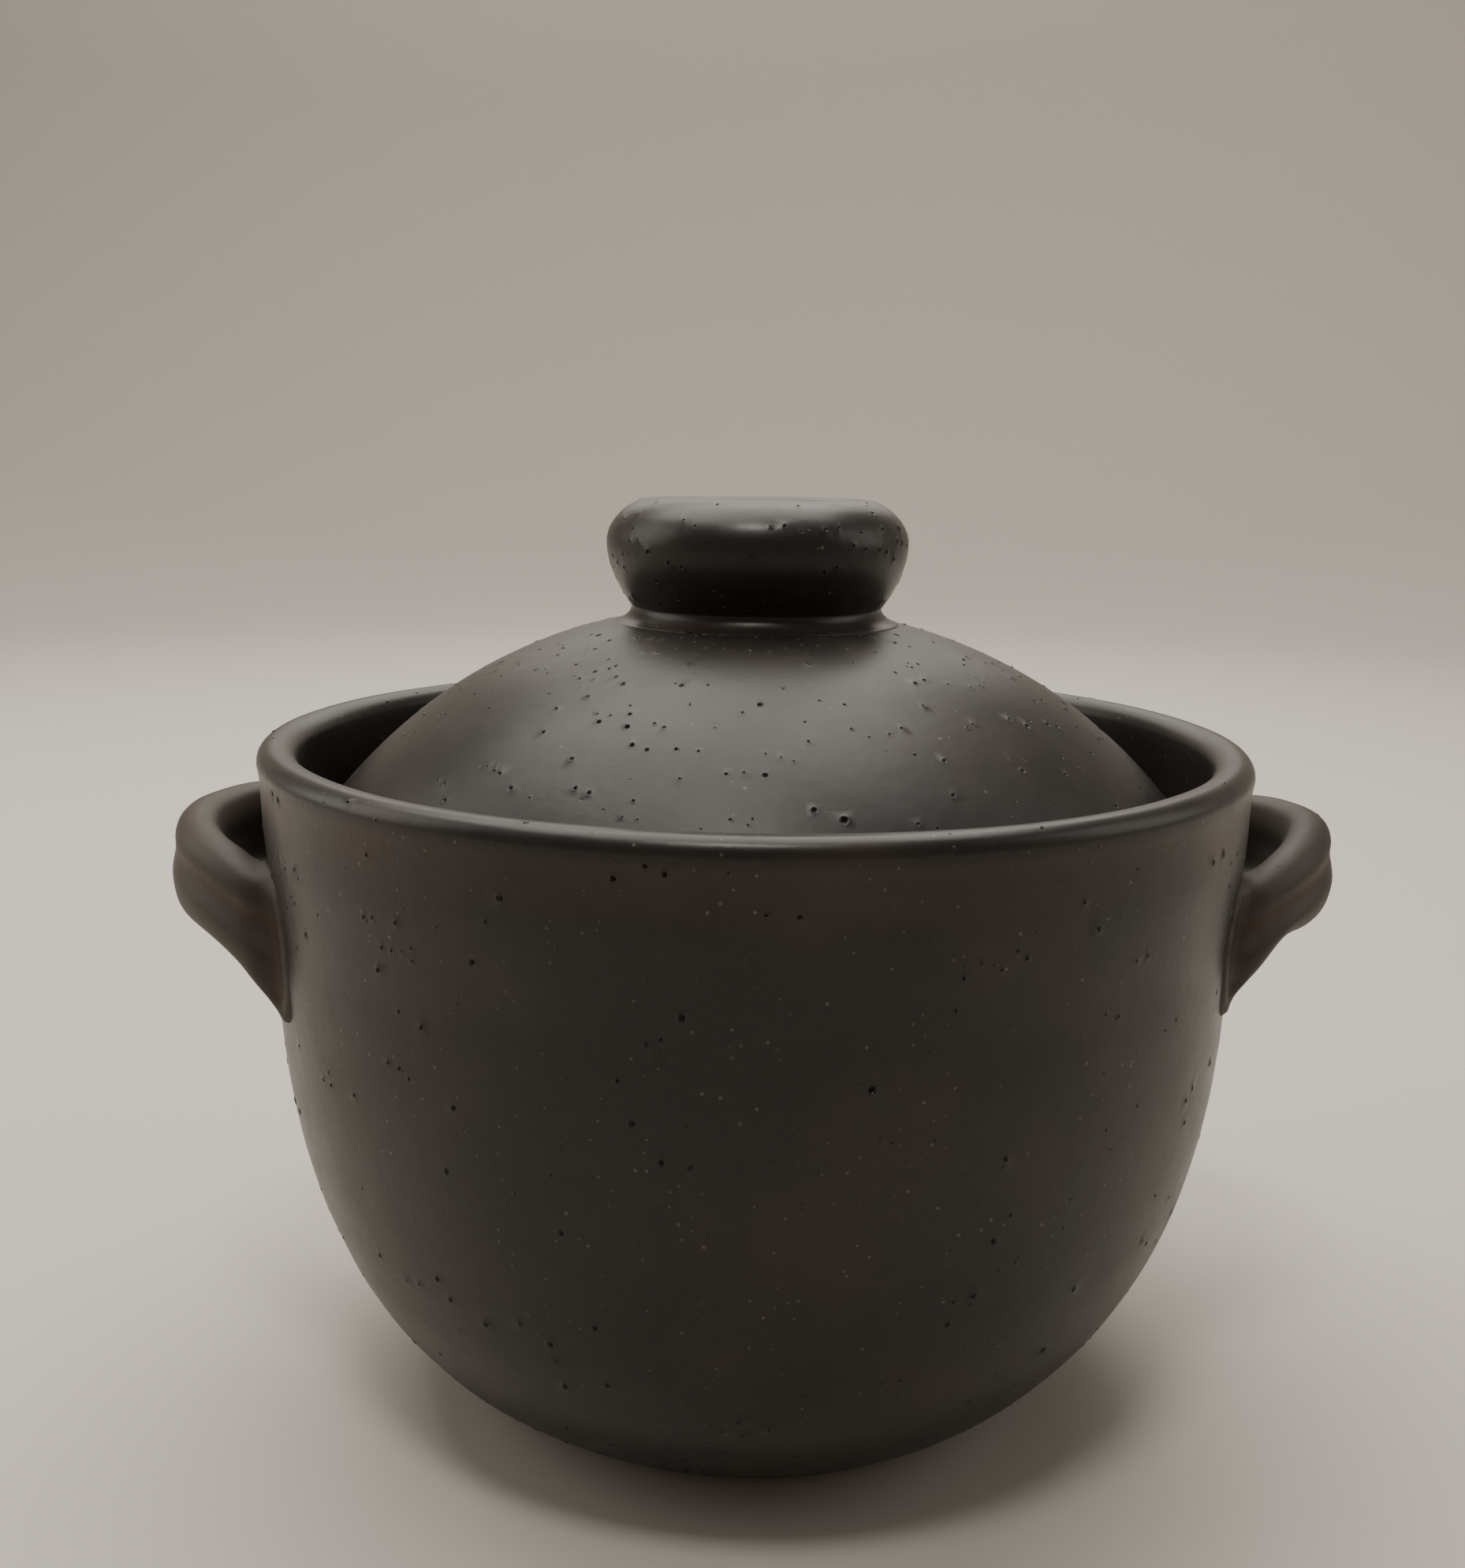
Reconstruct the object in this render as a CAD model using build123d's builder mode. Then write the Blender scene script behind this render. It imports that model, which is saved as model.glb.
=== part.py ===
from build123d import *

import os
from math import cos, radians, sin

# A stoneware rice pot with strap ears, a domed outer lid that drops inside the rim, a hollow ring
# knob, and an inner lid on a ledge of its own. Millimetres, +Z up. The origin is the centre of the
# foot, on the surface that the pot stands on, and the ears lie along X.

os.makedirs("parts", exist_ok=True)

# The thrown bowl
foot_radius = 45.6
foot_edge = 1.2
foot_recess_radius = 37.0
foot_recess_depth = 1.2
foot_recess_slope = 2.0
belly_radius = 81.6
belly_height = 83.6
belly_power = 2.53
wall = 7.6
floor_thickness = 8.6
floor_corner = 7.0

# The rim, with a soft bead rolled over the outside
collar_height = 30.2
rim_flare = 1.9
rim_width = 6.5
rim_roll = 2.6
rim_inner_roll = 3.2
rim_neck_step = 0.3
rim_neck_drop = 6.6
rim_bead_end_angle = -28.0

# The two ledges inside the rim
lid_seat_drop = 20.8
lid_seat_width = 6.4
inner_seat_drop = 9.0
inner_seat_width = 6.6
inner_seat_depth = 3.0
ledge_round = 1.2

# The outer lid
seat_gap = 0.3
lid_side_gap = 1.5
lid_wall = 7.4
lid_edge_thickness = 4.7
lid_edge_round = 1.2
lid_ring_width = 8.2
lid_ring_step = 2.6
dome_curve = 86.0
dome_rise = 34.6
steam_hole_radius = 4.0
steam_hole_inset = 25.5

# The ring knob on the outer lid
knob_foot_radius = 24.3
knob_neck_radius = 21.5
knob_neck_rise = 2.4
knob_radius = 25.7
knob_widest_rise = 14.2
knob_crest_radius = 18.0
knob_height = 20.8
knob_recess_radius = 13.6
knob_recess_floor_radius = 11.0
knob_recess_depth = 12.4
knob_recess_round = 3.0

# The inner lid and its grip
inner_side_gap = 1.3
inner_lid_wall = 6.2
inner_lid_rise = 6.0
inner_ring_width = 7.6
inner_lid_edge_round = 1.6
inner_hole_radius = 4.5
inner_hole_inset = 33.3
grip_seat_radius = 11.0
grip_neck_radius = 8.2
grip_neck_rise = 4.6
grip_radius = 12.4
grip_widest_rise = 9.6
grip_height = 13.2
grip_dish_radius = 6.6
grip_dish_depth = 0.9

# The strap ears: an arc in plan, its section taller and thicker towards the roots
ear_arc_inset = 18.4
left_ear_reach = 32.3
right_ear_reach = 34.2
left_ear_swing = 2.0
right_ear_swing = 4.0
left_ear_lean = 1.2
right_ear_lean = 1.0
ear_end_angle = 84.0
ear_top_drop = 13.4
ear_top_dip = 5.8
ear_height = 15.4
left_ear_root_drop = 12.9
right_ear_root_drop = 11.8
ear_lip_radius = 3.8
ear_lip_drop = 3.3
ear_inner_half = 3.7
ear_outer_half = 4.4
ear_crease_depth = 0.7
ear_crease_root_depth = 1.5
ear_crease_drop = 5.0
ear_crease_root_drop = 6.4
ear_root_flare = 2.6
ear_angle_shares = (0.0, 0.3, 0.52, 0.68, 0.84, 1.0)
ear_dip_shares = (0.0, 0.13, 0.44, 0.67, 0.87, 1.0)
ear_flare_shares = (0.0, 0.0, 0.05, 0.24, 0.64, 1.0)
left_ear_depth_shares = (0.0, 0.02, 0.1, 0.4, 0.9, 1.0)
right_ear_depth_shares = (0.0, 0.03, 0.05, 0.1, 0.74, 1.0)
half_turn = 180.0

# How closely two edges have to lie to be the same one
same_place = 0.01

# Sizes that follow from the ones above
rim_height = belly_height + collar_height
rim_radius = belly_radius + rim_flare
rim_neck_radius = rim_radius - rim_neck_step
bore_radius = rim_radius - rim_width
lid_seat_height = rim_height - lid_seat_drop
lid_seat_radius = bore_radius - lid_seat_width
inner_seat_height = lid_seat_height - inner_seat_drop
inner_seat_radius = lid_seat_radius - inner_seat_width
under_ledge = inner_seat_height - inner_seat_depth
lid_radius = bore_radius - lid_side_gap
lid_base = lid_seat_height + seat_gap
lid_edge_height = lid_base + lid_edge_thickness
knob_seat_height = lid_edge_height + dome_rise
steam_hole_reach = lid_radius - steam_hole_inset
inner_lid_radius = lid_seat_radius - inner_side_gap
inner_lid_base = inner_seat_height + seat_gap
inner_hole_reach = inner_lid_radius - inner_hole_inset
ear_arc_centre = belly_radius - ear_arc_inset
ear_top = rim_height - ear_top_drop
neck_height = rim_height - rim_neck_drop
belly_fall = belly_height / (1 - (foot_radius / belly_radius) ** belly_power) ** (1 / belly_power)
overrun = rim_height


def belly_point(height, inset):
    """Point of the belly's superellipse at a height, or of the curve inset from it by a wall."""
    drop = (belly_height - height) / (belly_fall - inset)
    return ((belly_radius - inset) * (1 - drop**belly_power) ** (1 / belly_power), height)


def belly_curve(low, high, inset, count=7):
    """Points of that curve from one height to another, closer together near the foot."""
    steps = [(i / (count - 1)) ** 2 for i in range(count)]
    return [belly_point(low + (high - low) * step, inset) for step in steps]


def rim_point(angle):
    """Point of the rim's outer roll, the angle counted from straight out."""
    across = rim_radius - rim_roll + rim_roll * cos(radians(angle))
    return (across, rim_height - rim_roll + rim_roll * sin(radians(angle)))


def rim_inner_point(angle):
    """Point of the rim's softer inner roll, the angle counted from straight in."""
    across = bore_radius + rim_inner_roll - rim_inner_roll * cos(radians(angle))
    return (across, rim_height - rim_inner_roll + rim_inner_roll * sin(radians(angle)))


def rings(work, *places):
    """Round edges of a turned piece that lie at the given radii and heights."""
    found = []
    for edge in work.edges().filter_by(GeomType.CIRCLE):
        for radius, height in places:
            apart = max(abs(edge.radius - radius), abs(edge.arc_center.Z - height))
            if apart < same_place:
                found.append(edge)
    return found


def outer_wall():
    """Outside of the bowl from the foot's edge to the top of the rim."""
    foot = (foot_radius - foot_edge, 0)
    belly = belly_curve(foot_edge, belly_height, 0)
    Line(foot, belly[0])
    Spline(*belly, (rim_neck_radius, neck_height), tangents=[(1, 1 / belly_power), (0, 1)])
    bead_end = rim_point(rim_bead_end_angle)
    bead_run = (-sin(radians(rim_bead_end_angle)), cos(radians(rim_bead_end_angle)))
    Spline((rim_neck_radius, neck_height), bead_end, tangents=[(0, 1), bead_run])
    ThreePointArc(bead_end, rim_point(0), rim_point(90))


# The bowl's outside as one filled solid: the ears are cut to it, so they meet the wall exactly.
with BuildPart() as bowl_outside:
    with BuildSketch(Plane.XZ):
        with BuildLine():
            outer_wall()
            Polyline(rim_point(90), (0, rim_height), (0, 0), (foot_radius - foot_edge, 0))
        make_face()
    revolve(axis=Axis.Z)

with BuildPart() as pot_body:
    with BuildSketch(Plane.XZ):
        with BuildLine():
            outer_wall()
            Line(rim_point(90), rim_inner_point(90))
            ThreePointArc(rim_inner_point(90), rim_inner_point(45), rim_inner_point(0))
            inside_reach = belly_radius - wall - inner_seat_radius
            inside_top = under_ledge - inside_reach
            Polyline(
                rim_inner_point(0),
                (bore_radius, lid_seat_height),
                (lid_seat_radius, lid_seat_height),
                (lid_seat_radius, inner_seat_height),
                (inner_seat_radius, inner_seat_height),
                (inner_seat_radius, under_ledge),
                belly_point(inside_top, wall),
            )
            inside = belly_curve(floor_thickness, inside_top, wall)
            Spline(*inside)
            Polyline(
                inside[0],
                (0, floor_thickness),
                (0, foot_recess_depth),
                (foot_recess_radius - foot_recess_slope, foot_recess_depth),
                (foot_recess_radius, 0),
                (foot_radius - foot_edge, 0),
            )
        make_face()
    revolve(axis=Axis.Z)
    corner_radius = belly_point(floor_thickness, wall)[0]
    fillet(rings(pot_body, (corner_radius, floor_thickness)), floor_corner)
    ledge_tops = [(lid_seat_radius, lid_seat_height), (inner_seat_radius, inner_seat_height)]
    fillet(rings(pot_body, *ledge_tops, (inner_seat_radius, under_ledge)), ledge_round)


def ear_section(dip_share, flare_share, root_drop):
    """Outline of the strap across its run: a rolled lip, a crease under it and a fuller skirt."""
    top = ear_top - ear_top_dip * dip_share
    base = ear_top - ear_height - root_drop
    lip = top - ear_lip_drop
    outer = ear_outer_half + ear_root_flare * flare_share
    crease = top - ear_crease_drop - (ear_crease_root_drop - ear_crease_drop) * dip_share
    dent = ear_crease_depth + (ear_crease_root_depth - ear_crease_depth) * dip_share
    skirt = (crease + base) / 2
    tuck = ear_lip_radius / 2
    slant = ear_lip_radius * cos(radians(45))
    slant_height = lip + ear_lip_drop * sin(radians(45))
    return [
        (0, top),
        (slant, slant_height),
        (ear_lip_radius, lip),
        (outer - dent, crease),
        (outer, skirt),
        (outer - tuck, base + tuck / 2),
        (0, base),
        (-ear_inner_half + tuck / 2, base + tuck),
        (-ear_inner_half, skirt),
        (-ear_lip_radius, lip),
        (-slant, slant_height),
    ]


def strap_ear(reach, bearing, lean, root_drops):
    """An ear on the bowl's +X side, lofted round an arc in plan, cut to the wall, then turned."""
    with BuildPart() as ear:
        stations = list(zip(ear_angle_shares, ear_dip_shares, ear_flare_shares, root_drops))
        mirrored = [(-angle, *rest) for angle, *rest in stations[:0:-1]]
        for angle_share, *section in mirrored + stations:
            turn = radians(ear_end_angle * angle_share)
            out = Vector(cos(turn), sin(turn), 0)
            place = Vector(ear_arc_centre, 0, -lean * sin(turn)) + out * reach
            across = Plane(origin=place, x_dir=out, z_dir=out.cross(Vector(0, 0, 1)))
            with BuildSketch(across):
                with BuildLine():
                    Spline(*ear_section(*section), periodic=True)
                make_face()
        loft()
        add(bowl_outside.part, mode=Mode.SUBTRACT)
    return ear.part.rotate(Axis.Z, bearing)


# The ears were luted on by hand: they differ a little in reach, in how they stand and lean, and in
# how far their roots run down the wall.
left_root_drops = [left_ear_root_drop * share for share in left_ear_depth_shares]
right_root_drops = [right_ear_root_drop * share for share in right_ear_depth_shares]
with BuildPart() as handle_left:
    add(strap_ear(left_ear_reach, half_turn + left_ear_swing, left_ear_lean, left_root_drops))

with BuildPart() as handle_right:
    add(strap_ear(right_ear_reach, right_ear_swing, right_ear_lean, right_root_drops))

with BuildPart() as lid_dome:
    with BuildSketch(Plane.XZ):
        with BuildLine():
            ring_inner = lid_radius - lid_ring_width
            under_top = knob_seat_height - lid_wall
            under_edge = (ring_inner, lid_base + lid_ring_step)
            Line((0, knob_seat_height), (knob_foot_radius, knob_seat_height))
            RadiusArc((knob_foot_radius, knob_seat_height), (lid_radius, lid_edge_height), dome_curve)
            Polyline(
                (lid_radius, lid_edge_height), (lid_radius, lid_base), (ring_inner, lid_base), under_edge
            )
            RadiusArc(
                (knob_foot_radius - lid_wall / 2, under_top), under_edge, dome_curve - lid_wall
            )
            Polyline(
                (knob_foot_radius - lid_wall / 2, under_top), (0, under_top), (0, knob_seat_height)
            )
        make_face()
    revolve(axis=Axis.Z)
    fillet(rings(lid_dome, (lid_radius, lid_base), (lid_radius, lid_edge_height)), lid_edge_round)
    with Locations((0, steam_hole_reach, overrun)):
        Hole(steam_hole_radius, depth=overrun)

knob_top = knob_seat_height + knob_height
with BuildPart() as lid_knob:
    with BuildSketch(Plane.XZ):
        with BuildLine():
            neck = (knob_neck_radius, knob_seat_height + knob_neck_rise)
            widest = (knob_radius, knob_seat_height + knob_widest_rise)
            crest = (knob_crest_radius, knob_top)
            mouth = (knob_recess_radius, knob_top - knob_recess_round)
            recess_floor = knob_top - knob_recess_depth
            Spline((knob_foot_radius, knob_seat_height), neck, tangents=[(-1, 1 / belly_power), (0, 1)])
            Spline(neck, widest, tangents=[(0, 1), (0, 1)])
            Spline(widest, crest, tangents=[(0, 1), (-1, 0)])
            Spline(crest, mouth, tangents=[(-1, 0), (0, -1)])
            Polyline(
                mouth,
                (knob_recess_floor_radius, recess_floor),
                (0, recess_floor),
                (0, knob_seat_height),
                (knob_foot_radius, knob_seat_height),
            )
        make_face()
    revolve(axis=Axis.Z)

inner_top = inner_lid_base + inner_lid_wall
with BuildPart() as inner_lid:
    with BuildSketch(Plane.XZ):
        with BuildLine():
            ring_inner = inner_lid_radius - inner_ring_width
            grip_seat = inner_top + inner_lid_rise
            SagittaArc((grip_seat_radius, grip_seat), (inner_lid_radius, inner_top), inner_lid_rise / 4)
            Polyline(
                (inner_lid_radius, inner_top),
                (inner_lid_radius, inner_lid_base),
                (ring_inner, inner_lid_base),
            )
            SagittaArc(
                (0, inner_lid_base + inner_lid_rise), (ring_inner, inner_lid_base), inner_lid_rise / 4
            )
            Polyline((0, inner_lid_base + inner_lid_rise), (0, grip_seat), (grip_seat_radius, grip_seat))
        make_face()
    revolve(axis=Axis.Z)
    edge_rings = [(inner_lid_radius, inner_lid_base), (inner_lid_radius, inner_top)]
    fillet(rings(inner_lid, *edge_rings), inner_lid_edge_round)
    with Locations((inner_hole_reach, 0, overrun), (-inner_hole_reach, 0, overrun)):
        Hole(inner_hole_radius, depth=overrun)

with BuildPart() as inner_lid_knob:
    with BuildSketch(Plane.XZ):
        with BuildLine():
            grip_top = grip_seat + grip_height
            neck = (grip_neck_radius, grip_seat + grip_neck_rise)
            widest = (grip_radius, grip_seat + grip_widest_rise)
            dish = (grip_dish_radius, grip_top)
            Spline((grip_seat_radius, grip_seat), neck, tangents=[(-1, 1), (0, 1)])
            Spline(neck, widest, tangents=[(0, 1), (0, 1)])
            Spline(widest, dish, tangents=[(0, 1), (-1, 0)])
            Spline(dish, (0, grip_top - grip_dish_depth), tangents=[(-1, 0), (-1, 0)])
            Polyline((0, grip_top - grip_dish_depth), (0, grip_seat), (grip_seat_radius, grip_seat))
        make_face()
    revolve(axis=Axis.Z)

pieces = {
    "pot_body": pot_body,
    "handle_left": handle_left,
    "handle_right": handle_right,
    "lid_dome": lid_dome,
    "lid_knob": lid_knob,
    "inner_lid": inner_lid,
    "inner_lid_knob": inner_lid_knob,
}
for name, piece in pieces.items():
    piece.part.label = name
    export_step(piece.part, f"parts/{name}.step")
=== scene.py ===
import math
import random

import bmesh
import bpy
import numpy as np
from bpy.props import FloatProperty, FloatVectorProperty, IntProperty, PointerProperty
from mathutils import Matrix, Vector, noise


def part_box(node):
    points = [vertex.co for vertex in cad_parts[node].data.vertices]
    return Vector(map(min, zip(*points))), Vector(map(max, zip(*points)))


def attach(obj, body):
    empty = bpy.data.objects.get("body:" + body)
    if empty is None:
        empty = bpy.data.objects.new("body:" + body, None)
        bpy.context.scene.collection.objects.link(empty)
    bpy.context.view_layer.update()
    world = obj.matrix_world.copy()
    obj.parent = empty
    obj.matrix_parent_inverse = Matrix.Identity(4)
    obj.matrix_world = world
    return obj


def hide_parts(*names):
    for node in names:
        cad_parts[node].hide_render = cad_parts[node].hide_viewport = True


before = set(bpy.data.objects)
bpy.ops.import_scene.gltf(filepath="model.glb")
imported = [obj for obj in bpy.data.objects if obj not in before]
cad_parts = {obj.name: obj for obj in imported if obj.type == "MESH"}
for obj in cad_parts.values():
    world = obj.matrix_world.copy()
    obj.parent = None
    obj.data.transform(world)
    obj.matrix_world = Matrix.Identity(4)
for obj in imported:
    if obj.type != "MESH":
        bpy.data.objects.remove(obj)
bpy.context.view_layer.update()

bl_info = {
    "name": "Rice pot",
    "version": (1, 0, 0),
    "blender": (4, 5, 0),
    "location": "View3D > Sidebar > Rice pot",
    "description": "Glazed stoneware rice pot with strap ears and two lids, built on its frame",
    "category": "Add Mesh",
}

MM = 0.001
FULL_TURN = 2 * math.pi

bowl_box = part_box("pot_body")
dome_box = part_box("lid_dome")
knob_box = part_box("lid_knob")
inner_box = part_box("inner_lid")
grip_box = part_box("inner_lid_knob")


# Sizes, finishes and light that a user would change

def length(name, description, default):
    return FloatProperty(name=name, description=description, default=default, unit="LENGTH", precision=5)


def number(name, description, default, **limits):
    return FloatProperty(name=name, description=description, default=default, **limits)


def count(name, description, default):
    return IntProperty(name=name, description=description, default=default, min=0)


def colour(name, description, default):
    return FloatVectorProperty(
        name=name, description=description, default=default, subtype="COLOR", size=3, min=0.0, max=1.0
    )


class BowlSizes(bpy.types.PropertyGroup):
    """Sizes of the thrown bowl."""

    belly_radius: length("Belly radius", "Widest radius of the rounded lower bowl", 81.6 * MM)
    belly_height: length("Belly height", "Height at which the bowl stops widening", 83.6 * MM)
    belly_power: number("Belly power", "Fullness of the belly's curve", 2.53)
    foot_radius: length("Foot radius", "Radius at the foot's edge", 45.6 * MM)
    wall: length("Wall", "Thickness of the bowl's wall", 7.6 * MM)
    floor: length("Floor", "Thickness of the bowl's floor", 8.6 * MM)
    neck_radius: length("Neck radius", "Radius just under the rolled rim", 83.05 * MM)
    neck_drop: length("Neck drop", "From the rim's crest down to the neck", 9.0 * MM)
    rim_width: length("Rim width", "From the rim's outside to the bore", 6.5 * MM)
    rim_roll: length("Rim roll", "Radius of the rim's outer roll", 2.6 * MM)
    rim_inner_roll: length("Inner roll", "Radius of the rim's inner roll", 3.2 * MM)
    rim_radius: length("Rim radius", "Outside radius of the rolled rim", bowl_box[1].x)
    rim_height: length("Rim height", "Height of the rim's crest", bowl_box[1].z)
    unevenness: length("Unevenness", "How far the hand-thrown wall wanders", 0.32 * MM)


class EarSizes(bpy.types.PropertyGroup):
    """Sizes of the two strap ears."""

    arc_centre: length("Arc centre", "Distance of the ear's arc centre from the pot's axis", 63.2 * MM)
    left_reach: length("Left reach", "Radius of the left ear's arc in plan", 32.4 * MM)
    right_reach: length("Right reach", "Radius of the right ear's arc in plan", 34.3 * MM)
    left_swing: number("Left swing", "Turn of the left ear", 2.0)
    right_swing: number("Right swing", "Turn of the right ear", 4.0)
    left_lean: length("Left lean", "How far the left ear's front root sinks below its middle", 0.8 * MM)
    right_lean: length("Right lean", "How far the right ear's back root sinks below its middle", 1.6 * MM)
    top: length("Top", "Height of the lip at the ear's middle", 100.5 * MM)
    height: length("Height", "Height of the strap at its middle", 15.5 * MM)
    lip_radius: length("Lip radius", "Half the width of the rolled lip", 3.8 * MM)
    inner_half: length("Inner half", "Strap thickness inside its centre line", 3.7 * MM)
    outer_half: length("Outer half", "Strap thickness outside its centre line", 4.5 * MM)


class GlazeLook(bpy.types.PropertyGroup):
    """Colours of the glaze and clay, and what marks the surface."""

    glaze: colour("Glaze", "Black of the thick glaze", (0.0102, 0.0090, 0.0080))
    warm: colour("Warm glaze", "Brown-black of the thinner patches", (0.021, 0.0165, 0.0130))
    # Painted shade: this brown is laid into shaded hollows, under the rim, in the ear's crease and groove, at
    # the knob's foot and round the steam hole.
    edge: colour("Brown", "Brown where the glaze lies thin in a hollow", (0.068, 0.040, 0.026))
    speck: colour("Speck", "Pale mineral specks in the glaze", (0.30, 0.27, 0.22))
    clay: colour("Clay", "Bare stoneware of the foot and seats", (0.21, 0.165, 0.125))
    roughness: number("Roughness", "Satin of the glaze", 0.34, min=0, max=1)
    bowl_pinholes: count("Bowl pinholes", "Pinholes tried on the bowl", 3400)
    lid_pinholes: count("Lid pinholes", "Pinholes tried on the outer lid", 2700)
    knob_pinholes: count("Knob pinholes", "Pinholes tried on the knob", 760)
    ear_pinholes: count("Ear pinholes", "Pinholes tried on each ear", 16)
    pinhole_radius: length("Pinhole radius", "Radius of a middling pinhole", 0.40 * MM)
    bead_radius: length("Bead radius", "Radius of a middling blister in the glaze", 0.26 * MM)
    bead_density: number("Beads per m2", "Blisters on each square metre", 9000)


class StageLook(bpy.types.PropertyGroup):
    """Floor, light and camera of the studio."""

    floor: colour("Floor", "Pale floor and cove", (0.47, 0.44, 0.405))
    sky: colour("Room light", "Even light of the room", (1.0, 0.965, 0.92))
    sky_strength: number("Room strength", "Strength of the room light", 0.17)
    key_power: number("Key power", "Ceiling panel over the pot, watts", 21.0)
    fill_power: number("Fill power", "Left window, watts", 5.5)
    backdrop_power: number("Backdrop power", "Light on the wall behind, watts", 9.0)


# Surfaces: each gives the place of a point at a run along its outline and a share of the way round it

class Corner:
    """A corner of an outline: radius, height, rounding, and what the stretch after it is like."""

    def __init__(self, r, z, rounding=0.0, bare=0.0, pits=0.0, wave=1.0, brown=0.0):
        self.r, self.z, self.rounding = r, z, rounding
        # The last trait is the brown tint of painted shade.
        self.traits = (bare, pits, wave, brown)


ROUNDING_SHARE = 0.48


def rounded(corners, arc_steps=8):
    """The outline with each corner turned through an arc, as rows of r, z, bare, pits, wave and shade brown,
    the brown tint of painted shade.
    """
    rows = []
    for k, corner in enumerate(corners):
        here = Vector((corner.r, corner.z))
        if corner.rounding == 0 or k in (0, len(corners) - 1):
            rows.append((*here, *corner.traits))
            continue
        back, ahead = (Vector((corners[i].r, corners[i].z)) - here for i in (k - 1, k + 1))
        half = back.angle(ahead) / 2
        most = ROUNDING_SHARE * min(back.length, ahead.length)
        reach = min(corner.rounding / math.tan(half), most)
        start, end = here + back.normalized() * reach, here + ahead.normalized() * reach
        weight = math.sin(half)
        for i in range(arc_steps + 1):
            t = i / arc_steps
            a, b, c = (1 - t) ** 2, 2 * t * (1 - t) * weight, t * t
            point = (start * a + here * b + end * c) / (a + b + c)
            rows.append((*point, *corner.traits))
    return rows


def round_corners(centre, radius, turns, **traits):
    """Corners at some turns, in radians from straight out, of a circle in the outline's plane."""
    across, up = centre
    return [Corner(across + radius * math.cos(t), up + radius * math.sin(t), **traits) for t in turns]


def arc(centre, radius, start, end, steps, **traits):
    """Corners along a round stretch of an outline, its ends in degrees from straight out."""
    turns = [math.radians(start + (end - start) * i / steps) for i in range(steps + 1)]
    return round_corners(centre, radius, turns, **traits)


def bow(start, end, radius, steps, **traits):
    """Corners along an arc of a given radius that bulges to the right of its run."""
    p, q = Vector(start), Vector(end)
    chord = q - p
    rise = math.sqrt(radius**2 - (chord.length / 2) ** 2)
    side = Vector((chord.y, -chord.x)).normalized()
    centre = (p + q) / 2 - side * rise
    first = math.atan2(p.y - centre.y, p.x - centre.x)
    sweep = (p - centre).angle(q - centre)
    return round_corners(centre, radius, [first + sweep * i / steps for i in range(steps + 1)], **traits)


def hermite(t):
    """Weights of the start, its slope, the end and its slope, at a share of a smooth curve."""
    return 2 * t**3 - 3 * t**2 + 1, t**3 - 2 * t**2 + t, 3 * t**2 - 2 * t**3, t**3 - t**2


def bend(start, leave, end, arrive, steps, **traits):
    """Corners along a free curve between two points with the given directions."""
    p, q = Vector(start), Vector(end)
    pull = (q - p).length
    m, n = Vector(leave).normalized() * pull, Vector(arrive).normalized() * pull
    corners = []
    for i in range(steps + 1):
        a, b, c, d = hermite(i / steps)
        point = (p * a + m * b) + (q * c + n * d)
        corners.append(Corner(point.x, point.y, **traits))
    return corners


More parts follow.
